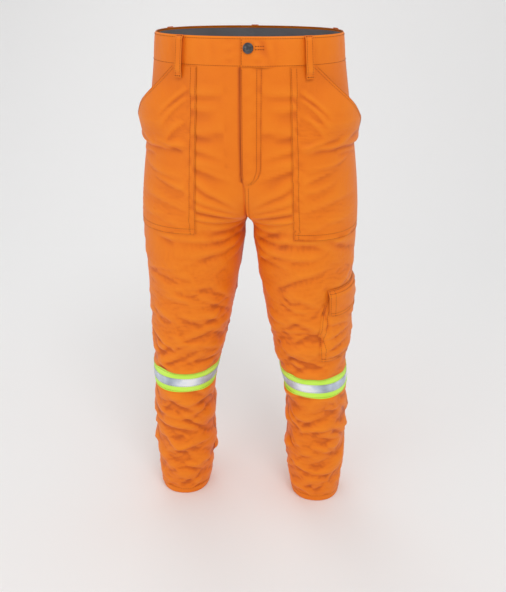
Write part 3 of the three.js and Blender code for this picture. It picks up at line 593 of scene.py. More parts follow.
def woven(name, stops, weave=0.9, crinkle=0.5, rough=0.55, sheen=0.06):
    """Plain-weave cloth: painted shade darkens its colour in valleys and along seams, painted highlight
    lightens it on raised folds, and fine crinkles break up the light.
    """
    finish = Finish(name)
    chart = finish.add("ShaderNodeTexCoord", {}, {}, "UV")
    axes = [finish.add("ShaderNodeSeparateXYZ", {}, {0: chart}, k) for k in (0, 1)]
    pitch = 2 * math.pi / (weave * MM)
    threads = (axes[0] * pitch).math("SINE") * (axes[1] * pitch).math("SINE")
    broad = finish.add("ShaderNodeTexNoise", {}, {"Vector": chart, "Scale": 14.0, "Detail": 4.0})
    small = finish.add(
        "ShaderNodeTexNoise", {}, {"Vector": chart, "Scale": 85.0, "Detail": 3.0, "Distortion": 0.8}
    )
    grain = finish.add("ShaderNodeTexNoise", {}, {"Vector": chart, "Scale": 900.0, "Detail": 2.0})
    # Painted light and shade from the folds: valleys darker, raised folds lighter.
    ridge = finish.add("ShaderNodeAttribute", {"attribute_name": "ridge"}, {}, "Fac")
    # Painted shade: darkens the cloth along seams and beside the fly cover's free edge.
    seam = finish.add("ShaderNodeAttribute", {"attribute_name": "seam"}, {}, "Fac")
    tone = ridge * 0.56 - 0.07 + broad * 0.30 + grain * 0.12 + threads * 0.03 - seam * 0.40
    colour = finish.add("ShaderNodeValToRGB", {"stops": stops}, {"Fac": tone})
    folds = finish.add("ShaderNodeBump", {}, {"Height": small, "Strength": crinkle, "Distance": 1.6 * MM})
    cloth = finish.add(
        "ShaderNodeBump", {}, {"Height": threads * 0.5 + grain, "Strength": 0.35, "Distance": 0.12 * MM,
                               "Normal": folds}
    )
    finish.surface(
        Base_Color=colour, Roughness=broad * 0.18 + (rough - 0.09), Normal=cloth,
        Sheen_Weight=sheen, Sheen_Roughness=0.45, Specular_IOR_Level=0.25,
    )
    return finish


ORANGE = [(0.05, (0.40, 0.055, 0.001)), (0.28, (0.72, 0.140, 0.002)), (0.42, (0.84, 0.186, 0.003)),
          (0.75, (0.92, 0.245, 0.008))]
orange_cloth = woven("orange_cloth", ORANGE)
HIP_LEAN = math.radians(35)
HIP_ZONE = 0.13
CROTCH_Y = (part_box("left_back_seat_panel")[1].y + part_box("left_front_seat_panel")[0].y) / 2


def bend_hip(piece, side):
    end = (side * HIP_ZONE * math.sin(HIP_LEAN), CROTCH_Y, CROTCH - HIP_ZONE * math.cos(HIP_LEAN))
    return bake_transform(piece)


def bend_knee(piece, side):
    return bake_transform(piece)


SIDE_NAMES = {side: name for name, side in SIDES.items()}
SPLIT_ROW = int(np.argmin(np.abs(ROWS + 487 * MM)))
HEM_ROW = int(np.argmin(np.abs(ROWS + 962.5 * MM)))
SHELL_THICK = 2.0 * MM
shell_normals = np.stack([grid_normals(draped[k], side) for k, side in enumerate(SIDES.values())])
for k in range(2):  # below the crotch each leg is a ring, whose two ends share their normals
    ring = unit(shell_normals[k, :, 0] + shell_normals[k, :, -1])
    below = (ROWS < CROTCH - 2 * MM)[:, None]
    shell_normals[k, :, 0] = np.where(below, ring, shell_normals[k, :, 0])
    shell_normals[k, :, -1] = np.where(below, ring, shell_normals[k, :, -1])
# Painted shade along the rise and the side seams, and beside the fly cover's free edge.
seam_shade = np.zeros(across_grid.shape)
seam_shade[:, :, [0, -1]] = 0.6
# The right front lies in the shadow of the cover's free edge.
by_cover = (ROWS > -238 * MM)[:, None]
shadow = np.exp(-(((body_form[1, ..., 0] + 3.5 * MM) / (3.2 * MM)) ** 2)) * by_cover
seam_shade[1] = np.maximum(seam_shade[1] * ~by_cover, shadow * (across_grid[1] < 1))
seam_shade[..., SIDE_SEAM] = 0.8
for k, (name, side) in enumerate(SIDES.items()):
    for face, columns in (("front", slice(0, SIDE_SEAM + 1)), ("back", slice(SIDE_SEAM, COLUMNS + 1))):
        for part, rows in (("upper", slice(0, SPLIT_ROW + 1)), ("lower", slice(SPLIT_ROW, HEM_ROW + 1))):
            mask = None
            if (side, face, part) == (1, "front", "upper"):
                low = (ROWS[:-1] + ROWS[1:])[rows.start : rows.stop - 1] / 2 < FLY_LOW
                mask = low[:, None] | (np.arange(SIDE_SEAM) >= FLY_KNOT)
            nodes = (
                [f"{name}_{face}_seat_panel", f"{name}_{face}_thigh_panel", f"{name}_hip_crease_cloth"]
                if part == "upper"
                else [f"{name}_{face}_shin_panel", f"{name}_knee_cloth"]
            )
            panel = sew(
                f"{name}_{face}_{part}", draped[k][rows, columns], body_form[k][rows, columns], SHELL_THICK,
                side, orange_cloth, nodes, mask=mask,
                normals=shell_normals[k][rows, columns], slack=(longer[k][rows, columns], 0.012),
                seam=seam_shade[k][rows, columns],
            )
            (bend_hip if part == "upper" else bend_knee)(panel, side)


# ---- Stitching ----
# Every row is made of short raised threads with small gaps between them, so that close views show
# separate stitches. They are gathered in groups by the cloth that they are sewn to.
def on_grid(grid, normals, row, column, lift=0.0):
    """Points of a grid, with its normals, at fractional rows and columns."""
    row, column, lift = np.broadcast_arrays(*(np.asarray(q, float) for q in (row, column, lift)))
    row = np.clip(row, 0, grid.shape[0] - 1.001)
    column = np.clip(column, 0, grid.shape[1] - 1.001)
    r, c = row.astype(int), column.astype(int)
    fr, fc = (row - r)[..., None], (column - c)[..., None]

    def mixed(field):
        top = field[r, c] * (1 - fc) + field[r, c + 1] * fc
        low = field[r + 1, c] * (1 - fc) + field[r + 1, c + 1] * fc
        return top * (1 - fr) + low * fr

    n = unit(mixed(normals))
    return mixed(grid) + n * lift[..., None], n


def on_shell(side, across, z, lift=0.0):
    """Points on the draped shell of one half, with its normals."""
    k = 0 if side > 0 else 1
    across, z, lift = np.broadcast_arrays(*(np.asarray(q, float) for q in (across, z, lift)))
    row = np.interp(-z, -ROWS, np.arange(len(ROWS)))
    column = np.empty_like(row)
    near = np.clip(np.rint(row).astype(int), 0, len(ROWS) - 1)
    for r in np.unique(near):
        at = near == r
        column[at] = np.interp(across[at], across_grid[k, r], np.arange(COLUMNS + 1))
    return on_grid(draped[k], shell_normals[k], row, column, lift)


STITCH_PITCH = 4.0 * MM
STITCH_LENGTH = 3.0 * MM
STITCH_WIDTH = 0.65 * MM
stitch_runs = {}


def stitch(group, side, points, normals):
    """Adds one row of stitches along a line of points to its group."""
    stitch_runs.setdefault((group, side), []).append((points, normals))


def stitch_mesh(name, runs):
    centres, ways, ups = [], [], []
    for points, normals in runs:
        far = np.pad(np.cumsum(np.linalg.norm(np.diff(points, axis=0), axis=1)), (1, 0))
        at = np.arange(STITCH_PITCH / 2, far[-1], STITCH_PITCH)
        if len(at) < 2:
            continue
        place = np.stack([np.interp(at, far, points[:, k]) for k in range(3)], 1)
        ups.append(unit(np.stack([np.interp(at, far, normals[:, k]) for k in range(3)], 1)))
        ways.append(unit(np.gradient(place, axis=0)))
        centres.append(place)
    centre, way, up = (np.concatenate(part) for part in (centres, ways, ups))
    across = unit(np.cross(way, up))
    half = STITCH_LENGTH / 2
    corners = np.stack([
        centre - way * half - up * 0.15 * MM,
        centre + way * half - up * 0.15 * MM,
        centre + across * STITCH_WIDTH,
        centre - across * STITCH_WIDTH,
        centre + up * 0.42 * MM,
        centre - up * 0.35 * MM,
    ], 1)
    faces = np.array([(0, 4, 2), (0, 3, 4), (0, 5, 3), (0, 2, 5), (1, 2, 4), (1, 4, 3), (1, 3, 5), (1, 5, 2)])
    every = (faces[None] + 6 * np.arange(len(centre))[:, None, None]).reshape(-1, 3)
    mesh = bpy.data.meshes.new(name)
    mesh.from_pydata(corners.reshape(-1, 3).tolist(), [], every.tolist())
    mesh.polygons.foreach_set("use_smooth", [True] * len(mesh.polygons))
    return mesh


def shell_line(group, side, across, z, lift=0.3 * MM):
    across, z = np.broadcast_arrays(np.asarray(across, float), np.asarray(z, float))
    stitch(group, side, *on_shell(side, across, z, lift))


def edge_line(group, side, grid, normals, row, column, lift=0.25 * MM):
    """A row of stitches on a patch, along fractional rows and columns of its grid."""
    row, column = np.broadcast_arrays(np.asarray(row, float), np.asarray(column, float))
    stitch(group, side, *on_grid(grid, normals, row, column, lift))


RISE_Z = np.linspace(-247 * MM, -318 * MM, 60)
BACK_RISE_Z = np.linspace(WAIST_SEAM, -318 * MM, 150)
THIGH_Z = np.linspace(-50 * MM, -487 * MM, 260)
SHIN_Z = np.linspace(-487 * MM, -955 * MM, 280)
for side in (1, -1):
    for off in (0.013, 0.032):
        shell_line("hip", side, 1 + off, THIGH_Z)
        shell_line("knee", side, 1 + off, SHIN_Z)
    shell_line("hip", side, 2 - 0.016, np.linspace(-335 * MM, -487 * MM, 90))
    shell_line("knee", side, 2 - 0.016, SHIN_Z)
for off in (2.5 * MM, 8.5 * MM):
    shell_line("hip", 1, across_at(off, RISE_Z), RISE_Z)
    shell_line("hip", 1, 2 - across_at(off, BACK_RISE_Z), BACK_RISE_Z)

# ---- Reflective bands below the knees ----
# A lime band is sewn round each shin and a silver retroreflective one along its middle. Both lie on
# the shell, which stays nearly flat under them.
def ring(side, heights, lift):
    across = np.linspace(0, 2, COLUMNS + 1)
    points, normals = on_shell(side, across[None, :], heights[:, None], lift)
    points[:, -1] = points[:, 0]
    return points, normals


LIME = [(0.2, (0.46, 0.80, 0.04)), (0.45, (0.62, 0.98, 0.10)), (0.8, (0.72, 1.0, 0.2))]
# The silver stops run from the tape's colour in shade to its colour in light: painted shade and painted
# reflection.
SILVER = [(0.2, (0.30, 0.36, 0.46)), (0.45, (0.60, 0.68, 0.80)), (0.6, (0.92, 0.96, 1.0))]
lime_paint = woven("lime_tape", LIME, weave=1.4, crinkle=0.25, rough=0.5, sheen=0.0)
silver_paint = Finish("silver_tape")
chart = silver_paint.add("ShaderNodeTexCoord", {}, {}, "UV")
beads = silver_paint.add("ShaderNodeTexVoronoi", {}, {"Vector": chart, "Scale": 900.0})
facets = silver_paint.add("ShaderNodeTexNoise", {}, {"Vector": chart, "Scale": 55.0, "Detail": 3.0})
cells = [silver_paint.add("ShaderNodeSeparateXYZ", {}, {0: chart}, k) * 1250.0 for k in (0, 1)]
lattice = (cells[0] + cells[1]).math("SINE") * (cells[0] - cells[1]).math("SINE")
broad = silver_paint.add("ShaderNodeTexNoise", {}, {"Vector": chart, "Scale": 16.0, "Detail": 1.0})
# Painted shade and painted reflection: broad noise moves the colour between the tape in shade and in light;
# the facets and lattice are the tape's own pattern.
silver_pattern_and_shading = broad * 1.5 + facets * 0.4 + lattice * 0.12 - 0.5
silver_colour = silver_paint.add("ShaderNodeValToRGB", {"stops": SILVER}, {"Fac": silver_pattern_and_shading})
silver_bump = silver_paint.add(
    "ShaderNodeBump", {}, {"Height": beads * 0.4 + facets, "Strength": 0.5, "Distance": 0.5 * MM}
)
silver_paint.surface(
    Base_Color=silver_colour, Roughness=facets * 0.25 + 0.25, Metallic=0.35, Normal=silver_bump,
    Coat_Weight=0.3, Coat_Roughness=0.3,
)
lime_heights = np.linspace(BAND_TOP, BAND_LOW, 16)
silver_top, silver_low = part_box("left_silver_tape")[1].z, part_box("left_silver_tape")[0].z
silver_heights = np.linspace(silver_top, silver_low, 8)
for side in (1, -1):
    name = SIDE_NAMES[side]
    edge = smooth(0, 3 * MM, np.minimum(BAND_TOP - lime_heights, lime_heights - BAND_LOW))
    outer, normals = ring(side, lime_heights, (0.5 + 0.5 * edge[:, None]) * MM)
    band = sew(f"{name}_lime_band", outer, outer, 0.7 * MM, side, lime_paint, [f"{name}_lime_tape"],
               normals=normals, wrap=True)
    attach(band, f"{name}_shin")
    for row in (0.8, 14.2):
        edge_line("band", side, outer, normals, row, np.arange(COLUMNS), 0.1 * MM)
    outer, normals = ring(side, silver_heights, 1.5 * MM)
    band = sew(f"{name}_silver_band", outer, outer, 0.4 * MM, side, silver_paint, [f"{name}_silver_tape"],
               normals=normals, wrap=True)
    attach(band, f"{name}_shin")
    for row in (0.5, 6.5):
        edge_line("silver", side, outer, normals, row, np.arange(COLUMNS), 0.05 * MM)

# ---- Hems ----
# The leg ends are turned up and sewn once round. Below the stitches the doubled cloth swells a little.
hem_rows = np.concatenate([np.linspace(ROWS[HEM_ROW], HEM_LOW + 3 * MM, 11), [HEM_LOW + 1 * MM, HEM_LOW]])
HEM_STITCH = HEM_LOW + 16 * MM
for side in (1, -1):
    name = SIDE_NAMES[side]
    doubled = 1.1 * smooth(HEM_STITCH + 2 * MM, HEM_STITCH - 6 * MM, hem_rows)
    swell = doubled - 1.0 * smooth(HEM_LOW + 3 * MM, HEM_LOW, hem_rows)
    outer, normals = ring(side, hem_rows, swell[:, None] * MM)
    outer[..., 2] = np.maximum(outer[..., 2], HEM_LOW)
    outer[-1, :, 2] = HEM_LOW
    hem = sew(f"{name}_leg_hem", outer, outer, 3.0 * MM, side, orange_cloth, [f"{name}_hem"],
              normals=unit(normals * (1, 1, 0.2)), wrap=True)
    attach(hem, f"{name}_shin")
    at = np.interp(-HEM_STITCH, -hem_rows, np.arange(len(hem_rows)))
    edge_line("band", side, outer, normals, at, np.arange(COLUMNS), 0.2 * MM)

# ---- Lining ----
# A smooth skin hangs inside the shell: one piece from the waistband to mid thigh for each half, and
# one from there to the hem. It shows at the waist and inside the leg openings.
GREY = [(0.2, (0.10, 0.10, 0.105)), (0.5, (0.17, 0.17, 0.18)), (0.8, (0.26, 0.26, 0.27))]
grey_mesh = woven("lining_mesh", GREY, weave=1.8, crinkle=0.4, rough=0.75, sheen=0.1)
LINING_LIFT = -5.4 * MM
LINING_SPLIT = -487 * MM
LINING_PARTS = (
    ("upper", np.linspace(-52 * MM, LINING_SPLIT, 90)),
    ("lower", np.linspace(LINING_SPLIT, -959 * MM, 70)),
)
for k, side in enumerate((1, -1)):
    name = SIDE_NAMES[side]
    columns = np.linspace(0, 2, 61)
    for part, heights in LINING_PARTS:
        clear = np.where(heights > CROTCH, 41 * MM * (1 - smooth(228 * MM, 258 * MM, -heights)) + 1.4 * MM, 0)
        inner = np.where(heights > CROTCH, across_at(clear, heights), 0)
        back = np.where(heights > CROTCH, 2 - across_at(1.4 * MM, heights), 2)
        across = inner[:, None] + (back - inner)[:, None] * columns[None, :] / 2
        grid = skin(side, across, heights[:, None], LINING_LIFT)
        ripple = waves(across, heights[:, None], 71 + k)
        grid = grid + grid_normals(grid, side) * (ripple * 0.5 * MM)[..., None]
        nodes = [f"{name}_seat_lining", f"{name}_leg_lining"] if part == "upper" else [f"{name}_leg_lining"]
        lining = sew(f"{name}_{part}_lining", grid, grid, 0.8 * MM, side, grey_mesh, nodes)
        (bend_hip if part == "upper" else bend_knee)(lining, side)


# ---- Waistband ----
# A doubled band in three pieces: the left front ends in the lap that carries the buttonhole, the
# right front passes under it, and the back closes the ring. A grey facing is sewn inside it.
BAND_HEIGHT = -WAIST_SEAM
BAND_START = 1.12


def x_to_across(x, z):
    """across_at, continued past the centre as the mirror image."""
    return np.sign(x) * across_at(np.abs(x), z)


def front_skin(side, x, z, lift):
    """The front surface at x from the centre, where a negative x lies on the other half."""
    x, z, lift = np.broadcast_arrays(*(np.asarray(q, float) for q in (x, z, lift)))
    across = x_to_across(x, z)
    p = skin(1, np.abs(across), z, lift)
    p[..., 0] *= np.where(across < 0, -1, 1)
    return p * (side, 1, 1)


band_rows = np.concatenate([[0, -0.8], np.linspace(-2.5, -43.5, 12), [-45.2, -46.5]]) * MM
fullness = 0.6 * np.sin(np.pi * np.clip(-band_rows / BAND_HEIGHT, 0, 1))
roll = -1.2 * (1 - smooth(0, 2.5 * MM, -band_rows)) + fullness
rng = np.random.default_rng(5)
ripple_places = rng.uniform(0, 2, 26)
ripple_sizes = rng.uniform(0.3, 1.0, 26)


def band_ripple(along, z):
    """Small upright dents where the band is eased round the waist and pulled at the loops."""
    total = np.zeros(np.broadcast(along, z).shape)
    for place, size in zip(ripple_places, ripple_sizes):
        lean = (z + BAND_HEIGHT / 2) * (size - 0.6) * 2.4
        total -= size * np.exp(-(((along - place + lean) / 0.022) ** 2))
    return total * np.sin(np.pi * np.clip(-z / BAND_HEIGHT, 0, 1)) * 0.9


LAP_COLUMNS = 26  # grid columns of the band's front end, spaced evenly in x
LAP_END = 60 * MM


def band_front(side, first, columns, rise):
    """One front of the band from x = first round to just behind the side seam."""
    x_part = np.linspace(first, LAP_END, LAP_COLUMNS)
    across0 = x_to_across(x_part[None, :], band_rows[:, None])
    last = across0[:, -1:]
    rest = last + (BAND_START - last) * np.linspace(0, 1, columns)[None, 1:]
    across = np.concatenate([across0, rest], 1)
    z = np.broadcast_to(band_rows[:, None], across.shape)
    x = bare(np.abs(across), z)[..., 0] * np.sign(across)
    lap = rise * (1 - smooth(30 * MM, 56 * MM, x))
    pull = np.exp(-np.abs(np.abs(x) - 22 * MM) / (12 * MM)) * np.sin(z * 420 + x * 60) * 0.45 * MM
    lift = roll[:, None] * MM + band_ripple(np.abs(across) + (0.3 if side < 0 else 0), z) * MM + lap + pull
    p = skin(1, np.abs(across), z, lift)
    p[..., 0] *= np.where(across < 0, -1, 1)
    return p * (side, 1, 1), across


def band_row(z_mm):
    """The fractional row of the band's grid at a height."""
    return np.interp(-z_mm, -band_rows / MM, np.arange(len(band_rows)))


def lap_column(x_mm):
    """The fractional column of the left front's grid at a distance from the centre."""
    return (x_mm - LAP_START / MM) / ((LAP_END - LAP_START) / MM) * (LAP_COLUMNS - 1)


BAND_THICK = 2.4 * MM
BAND_STITCH_ROWS = (2.3, 13.6)  # grid rows along the band's two edges
LAP_START = -3 * MM  # the left front's free end
for side, first, rise in ((1, LAP_START, 3.0 * MM), (-1, -28 * MM, 0)):
    name = SIDE_NAMES[side]
    outer, across = band_front(side, first, 44, rise)
    normals = grid_normals(outer, side)
    band = sew(f"{name}_waistband", outer, outer, BAND_THICK, side, orange_cloth, [f"waistband_{name}_front"],
               normals=normals)
    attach(band, "seat")
    columns = np.arange(0.7, outer.shape[1] - 1, 0.5)
    for row in BAND_STITCH_ROWS:
        edge_line("band_top", side, outer, normals, row, columns)
    if side > 0:  # the lap's free end, and the stitches round the buttonhole
        edge_line("band_top", side, outer, normals, np.linspace(*BAND_STITCH_ROWS, 30), 0.5)
        for z_mm in (-14.6, -19.4):
            for nudge in (0, 0.25):
                row = band_row(z_mm) + nudge * 0.4
                edge_line("band_top", side, outer, normals, row, lap_column(np.linspace(19, 33, 30) + nudge))
        bar = band_row(np.linspace(-14.2, -19.8, 8))
        for x_mm in (33.4, 34.2):
            edge_line("band_top", side, outer, normals, bar, lap_column(x_mm))
back_across = np.linspace(BAND_START, 2, 60)
z = np.broadcast_to(band_rows[:, None], (len(band_rows), 60))
lift = (roll[:, None] + band_ripple(back_across[None, :], z)) * MM
half = skin(1, back_across[None, :], z, lift)
half[:, -1, 0] = 0
outer = np.concatenate([half, (half * (-1, 1, 1))[:, -2::-1]], 1)
normals = grid_normals(outer, 1)
band = sew("back_waistband", outer, outer, BAND_THICK, 1, orange_cloth, ["waistband_back"],
           normals=normals)
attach(band, "seat")
for row in BAND_STITCH_ROWS:
    edge_line("band_top", 1, outer, normals, row, np.arange(0.2, outer.shape[1] - 1, 0.5))
facing_rows = np.linspace(-3 * MM, -50 * MM, 10)
columns = np.linspace(0, 1, 70)
start = across_at(50 * MM, facing_rows)
across = start[:, None] + (2 - start)[:, None] * columns
half = skin(1, across, facing_rows[:, None], -5.4 * MM)
half[:, -1, 0] = 0
outer = np.concatenate([half, (half * (-1, 1, 1))[:, -2::-1]], 1)
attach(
    sew("waist_facing", outer, outer, 0.8 * MM, 1, grey_mesh, ["waistband_facing"]),
    "seat",
)

# ---- Fly ----
# The left front's folded edge covers the zip, and a curved double row of stitches holds the cover down.
# Behind it lie the zip's tapes and the guard.
FLY_END = -243 * MM
FLY_CURVE = 34 * MM
fly_rows = np.concatenate([
    np.linspace(WAIST_SEAM - 0.6 * MM, -208 * MM, 44), np.linspace(-211 * MM, FLY_END, 16),
])
into = np.clip((FLY_END + FLY_CURVE - fly_rows) / FLY_CURVE, 0, 1)
j_line = 0.6 * MM + 31.4 * MM * np.sqrt(np.clip(1 - into**2, 0, 1))
share = np.linspace(0, 1, 15)
free_x = -3 * MM * (1 - smooth(-FLY_END - 20 * MM, -FLY_END, -fly_rows))
x = free_x[:, None] + (j_line - free_x)[:, None] * share[None, :]
across = x_to_across(x, fly_rows[:, None])
left_part, left_normal = on_shell(1, np.maximum(across, 0), fly_rows[:, None])
right_part, right_normal = on_shell(-1, np.maximum(-across, 0), fly_rows[:, None])
base = np.where((across >= 0)[..., None], left_part, right_part)
base_normal = np.where((across >= 0)[..., None], left_normal, right_normal)
plain = front_skin(1, x, fly_rows[:, None], np.zeros(x.shape))
over_opening = (fly_rows > FLY_LOW - 6 * MM)[:, None] & (x < 30 * MM)
base = np.where(over_opening[..., None], plain, base)
taper = 1 - smooth(0.35, 1.0, share)[None, :]
ease = smooth(0, 14 * MM, fly_rows - FLY_END)[:, None]
lift = (0.35 + (2.7 * taper) * (0.25 + 0.75 * ease)) * MM
pucker = waves(across * 2.2, fly_rows[:, None] * 1.6, 31) * 0.5 * MM * smooth(0, 0.3, share)[None, :]
outer = base + unit(base_normal + (0, -0.6, 0)) * (lift + pucker)[..., None]
normals = grid_normals(outer, 1)
blend_in = smooth(0.75, 1.0, share)[None, :, None]
normals = unit(normals * (1 - blend_in) + base_normal * blend_in)
thick = (0.5 + 1.4 * taper) * MM * np.ones_like(lift)
fly_shade = np.where(share == 0, 0.5, 0.0)
cover = sew("fly_front", outer, base, thick, 1, orange_cloth, ["fly_cover"], normals=normals,
            seam=np.broadcast_to(fly_shade, outer.shape[:2]))
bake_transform(cover)
for column in (13.2, 10.4):
    edge_line("fly", 1, outer, normals, np.arange(0.5, len(fly_rows) - 1.5, 0.5), column)
edge_line("fly", 1, outer, normals, np.arange(0.5, len(fly_rows) - 6, 0.5), 0.8)


def upright(low, high, rows, columns):
    """A flat upright grid that fills a box's width and height, at the box's front."""
    x, z = np.meshgrid(np.linspace(low.x, high.x, columns), np.linspace(high.z, low.z, rows))
    return np.stack([x, np.full(x.shape, low.y), z], -1)


outer = upright(*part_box("fly_guard"), 30, 12)
outer[..., 1] += 0.6 * MM * np.sin(outer[..., 2] * 90) * np.sin(outer[..., 0] * 110)
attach(sew("zip_guard", outer, outer, 1.3 * MM, 1, orange_cloth, ["fly_guard"]), "seat")
TAPE_ORANGE = [(0.2, (0.55, 0.12, 0.01)), (0.5, (0.72, 0.20, 0.02)), (0.8, (0.8, 0.28, 0.04))]
tape_weave = woven("zip_tape_cloth", TAPE_ORANGE, weave=0.7, crinkle=0.1, rough=0.7, sheen=0.1)
for name in SIDES:
    outer = upright(*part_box(f"{name}_zip_tape"), 40, 8)
    tape = sew(f"{name}_tape", outer, outer, 0.75 * MM, 1, tape_weave, [f"{name}_zip_tape"])
    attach(tape, "seat")

# ---- Hand pockets ----
# Big patches on the front. Each bulges at its slanting mouth, where a hand goes in, and has one
# level fold just under the bulge.
POCKET_TOP = WAIST_SEAM - 0.8 * MM
POCKET_END = {1: -345 * MM, -1: -339 * MM}
MOUTH_END = -168 * MM
pocket_rows = np.concatenate([
    np.linspace(0, 0.36, 34), np.linspace(0.37, 0.56, 30), np.linspace(0.575, 1, 34),
])
POCKET_CELLS = 45  # from the inner edge to the outer one
pocket_columns = np.linspace(0, 1, POCKET_CELLS + 1)
POCKET_FOLD = -177 * MM


def pocket_form(side):
    z = POCKET_TOP + (POCKET_END[side] - POCKET_TOP) * pocket_rows[:, None]
    down = np.clip((POCKET_TOP - z) / (POCKET_TOP - MOUTH_END), 0, 1)
    inner = across_at((76 + 12 * pocket_rows[:, None]) * MM, z)
    start = across_at(118 * MM, z)
    outer_edge = start + (0.985 - start) * down**0.85
    across = inner + (outer_edge - inner) * pocket_columns[None, :]
    z = np.broadcast_to(z, across.shape)
    x = bare(across, z)[..., 0]
    out = smooth(86 * MM, 168 * MM, x)
    full = smooth(POCKET_TOP, -122 * MM, z) * (1 - np.clip((-z - 140 * MM) / (46 * MM), 0, 1) ** 1.3)
    fold = z - POCKET_FOLD + (2.2 * np.sin(x * 60 + side) + 1.0 * np.sin(x * 170 + 2 * side)) * MM
    lift = (1.5 + 19 * out * full + 4 * smooth(82 * MM, 116 * MM, x) * np.exp(-((fold / (8 * MM)) ** 2))) * MM
    lip = 4.5 * MM * out * np.exp(-(((fold - 1 * MM) / (8 * MM)) ** 2))
    points, normals = on_shell(side, across, z, lift)
    points[..., 2] -= lip
    return across, z, points, normals


def pocket_hold(across, z):
    hold = np.full(across.shape, 0.012)
    edge = np.minimum(pocket_columns, 1 - pocket_columns)[None, :]
    open_mouth = (z > MOUTH_END) & (pocket_columns[None, :] > 0.5)
    hold[(edge < 0.03) & ~open_mouth] = 1
    hold[(edge < 0.03) & open_mouth] = 0.25
    hold[(pocket_rows < 0.012) | (pocket_rows > 0.988)] = 1
    hold[np.abs(z + 186 * MM) < 7 * MM] = 0.12
    return hold


forms = [pocket_form(side) for side in (1, -1)]
natural = np.stack([form[2] for form in forms])
pocket_facing = np.stack([form[3] for form in forms])
pocket_holds = np.stack([pocket_hold(form[0], form[1]) for form in forms])
first = np.stack([waves(form[0], form[1] * 1.2, 51 + k) for k, form in enumerate(forms)])
first *= (1 - np.clip(pocket_holds * 4, 0, 1)) * 1.6 * MM
extra = np.full(natural.shape[:3], 0.010)
pockets = relax(
    natural + pocket_facing * first[..., None], natural, extra, extra * 0.4, pocket_holds, 1.0 * MM, 5 * MM,
    pocket_facing, 160, reach=(5, 9, 13),
)
POCKET_FOLDS = [  # as for the seat's folds
    ((0.33, -84), (0.54, -134), 4, 2.6, 1.4), ((0.33, -104), (0.52, -160), 5, 2.8, 1.6),
    ((0.34, -130), (0.48, -168), 4, 2.4, 1.3), ((0.34, -184), (0.62, -168), 3, 2.2, 1.5),
    ((0.60, -172), (0.92, -158), 3, 2.4, 1.3), ((0.34, -228), (0.90, -200), -5, 3.0, 1.5),
    ((0.33, -248), (0.72, -228), 5, 3.0, 1.6), ((0.34, -264), (0.60, -246), -4, 2.6, 1.4),
    ((0.34, -286), (0.86, -262), 6, 3.2, 1.1), ((0.50, -310), (0.88, -318), -4, 3.2, 0.9),
    ((0.60, -196), (0.95, -206), 3, 2.4, 1.3), ((0.52, -330), (0.92, -304), 5, 3.2, 0.9),
]
for k, side in enumerate((1, -1)):
    name = SIDE_NAMES[side]
    outer = pockets[k]
    across, z = forms[k][:2]
    girth = np.interp(-z, -ROWS, half_girth)
    rng = np.random.default_rng(60 + side)
    for start, end, bow, width, height in POCKET_FOLDS:
        shift = rng.uniform(-9, 9)
        ends = (start[0], start[1] + shift), (end[0], end[1] + shift)
        shape = crease_shape(across, z, girth, *ends, bow, width)
        outer = outer + pocket_facing[k] * (shape * height * 1.5 * MM * (1 - pocket_holds[k]))[..., None]
    rise = ((outer - natural[k]) * pocket_facing[k]).sum(-1)  # kept clear of the shell below
    outer = outer + pocket_facing[k] * (np.maximum(rise, -0.6 * MM) - rise)[..., None]
    normals = grid_normals(outer, side)
    pocket = sew(f"{name}_hand_pocket", outer, natural[k], 1.5 * MM, side, orange_cloth,
                 [f"{name}_hand_pocket_pouch", f"{name}_hand_pocket_lower"], normals=normals)
    bend_hip(pocket, side)
    rows = np.arange(0.5, outer.shape[0] - 1.2, 0.5)
    spans = np.linalg.norm(np.diff(natural[k], axis=1), axis=-1).sum(1) / POCKET_CELLS
    cell = np.interp(rows, np.arange(len(spans)), spans)
    for inset in (1.6, 10.0):
        edge_line("hip", side, outer, normals, rows, inset * MM / cell)
    for row in (96.5, 93.9):
        edge_line("hip", side, outer, normals, row, np.arange(0.7, POCKET_CELLS, 0.5))
    upper = rows[rows < np.searchsorted(-forms[k][1][:, 0], -MOUTH_END)]
    upper_cell = np.interp(upper, np.arange(len(spans)), spans)
    for inset in (1.6, 8.0):
        edge_line("hip", side, outer, normals, upper, POCKET_CELLS - inset * MM / upper_cell)

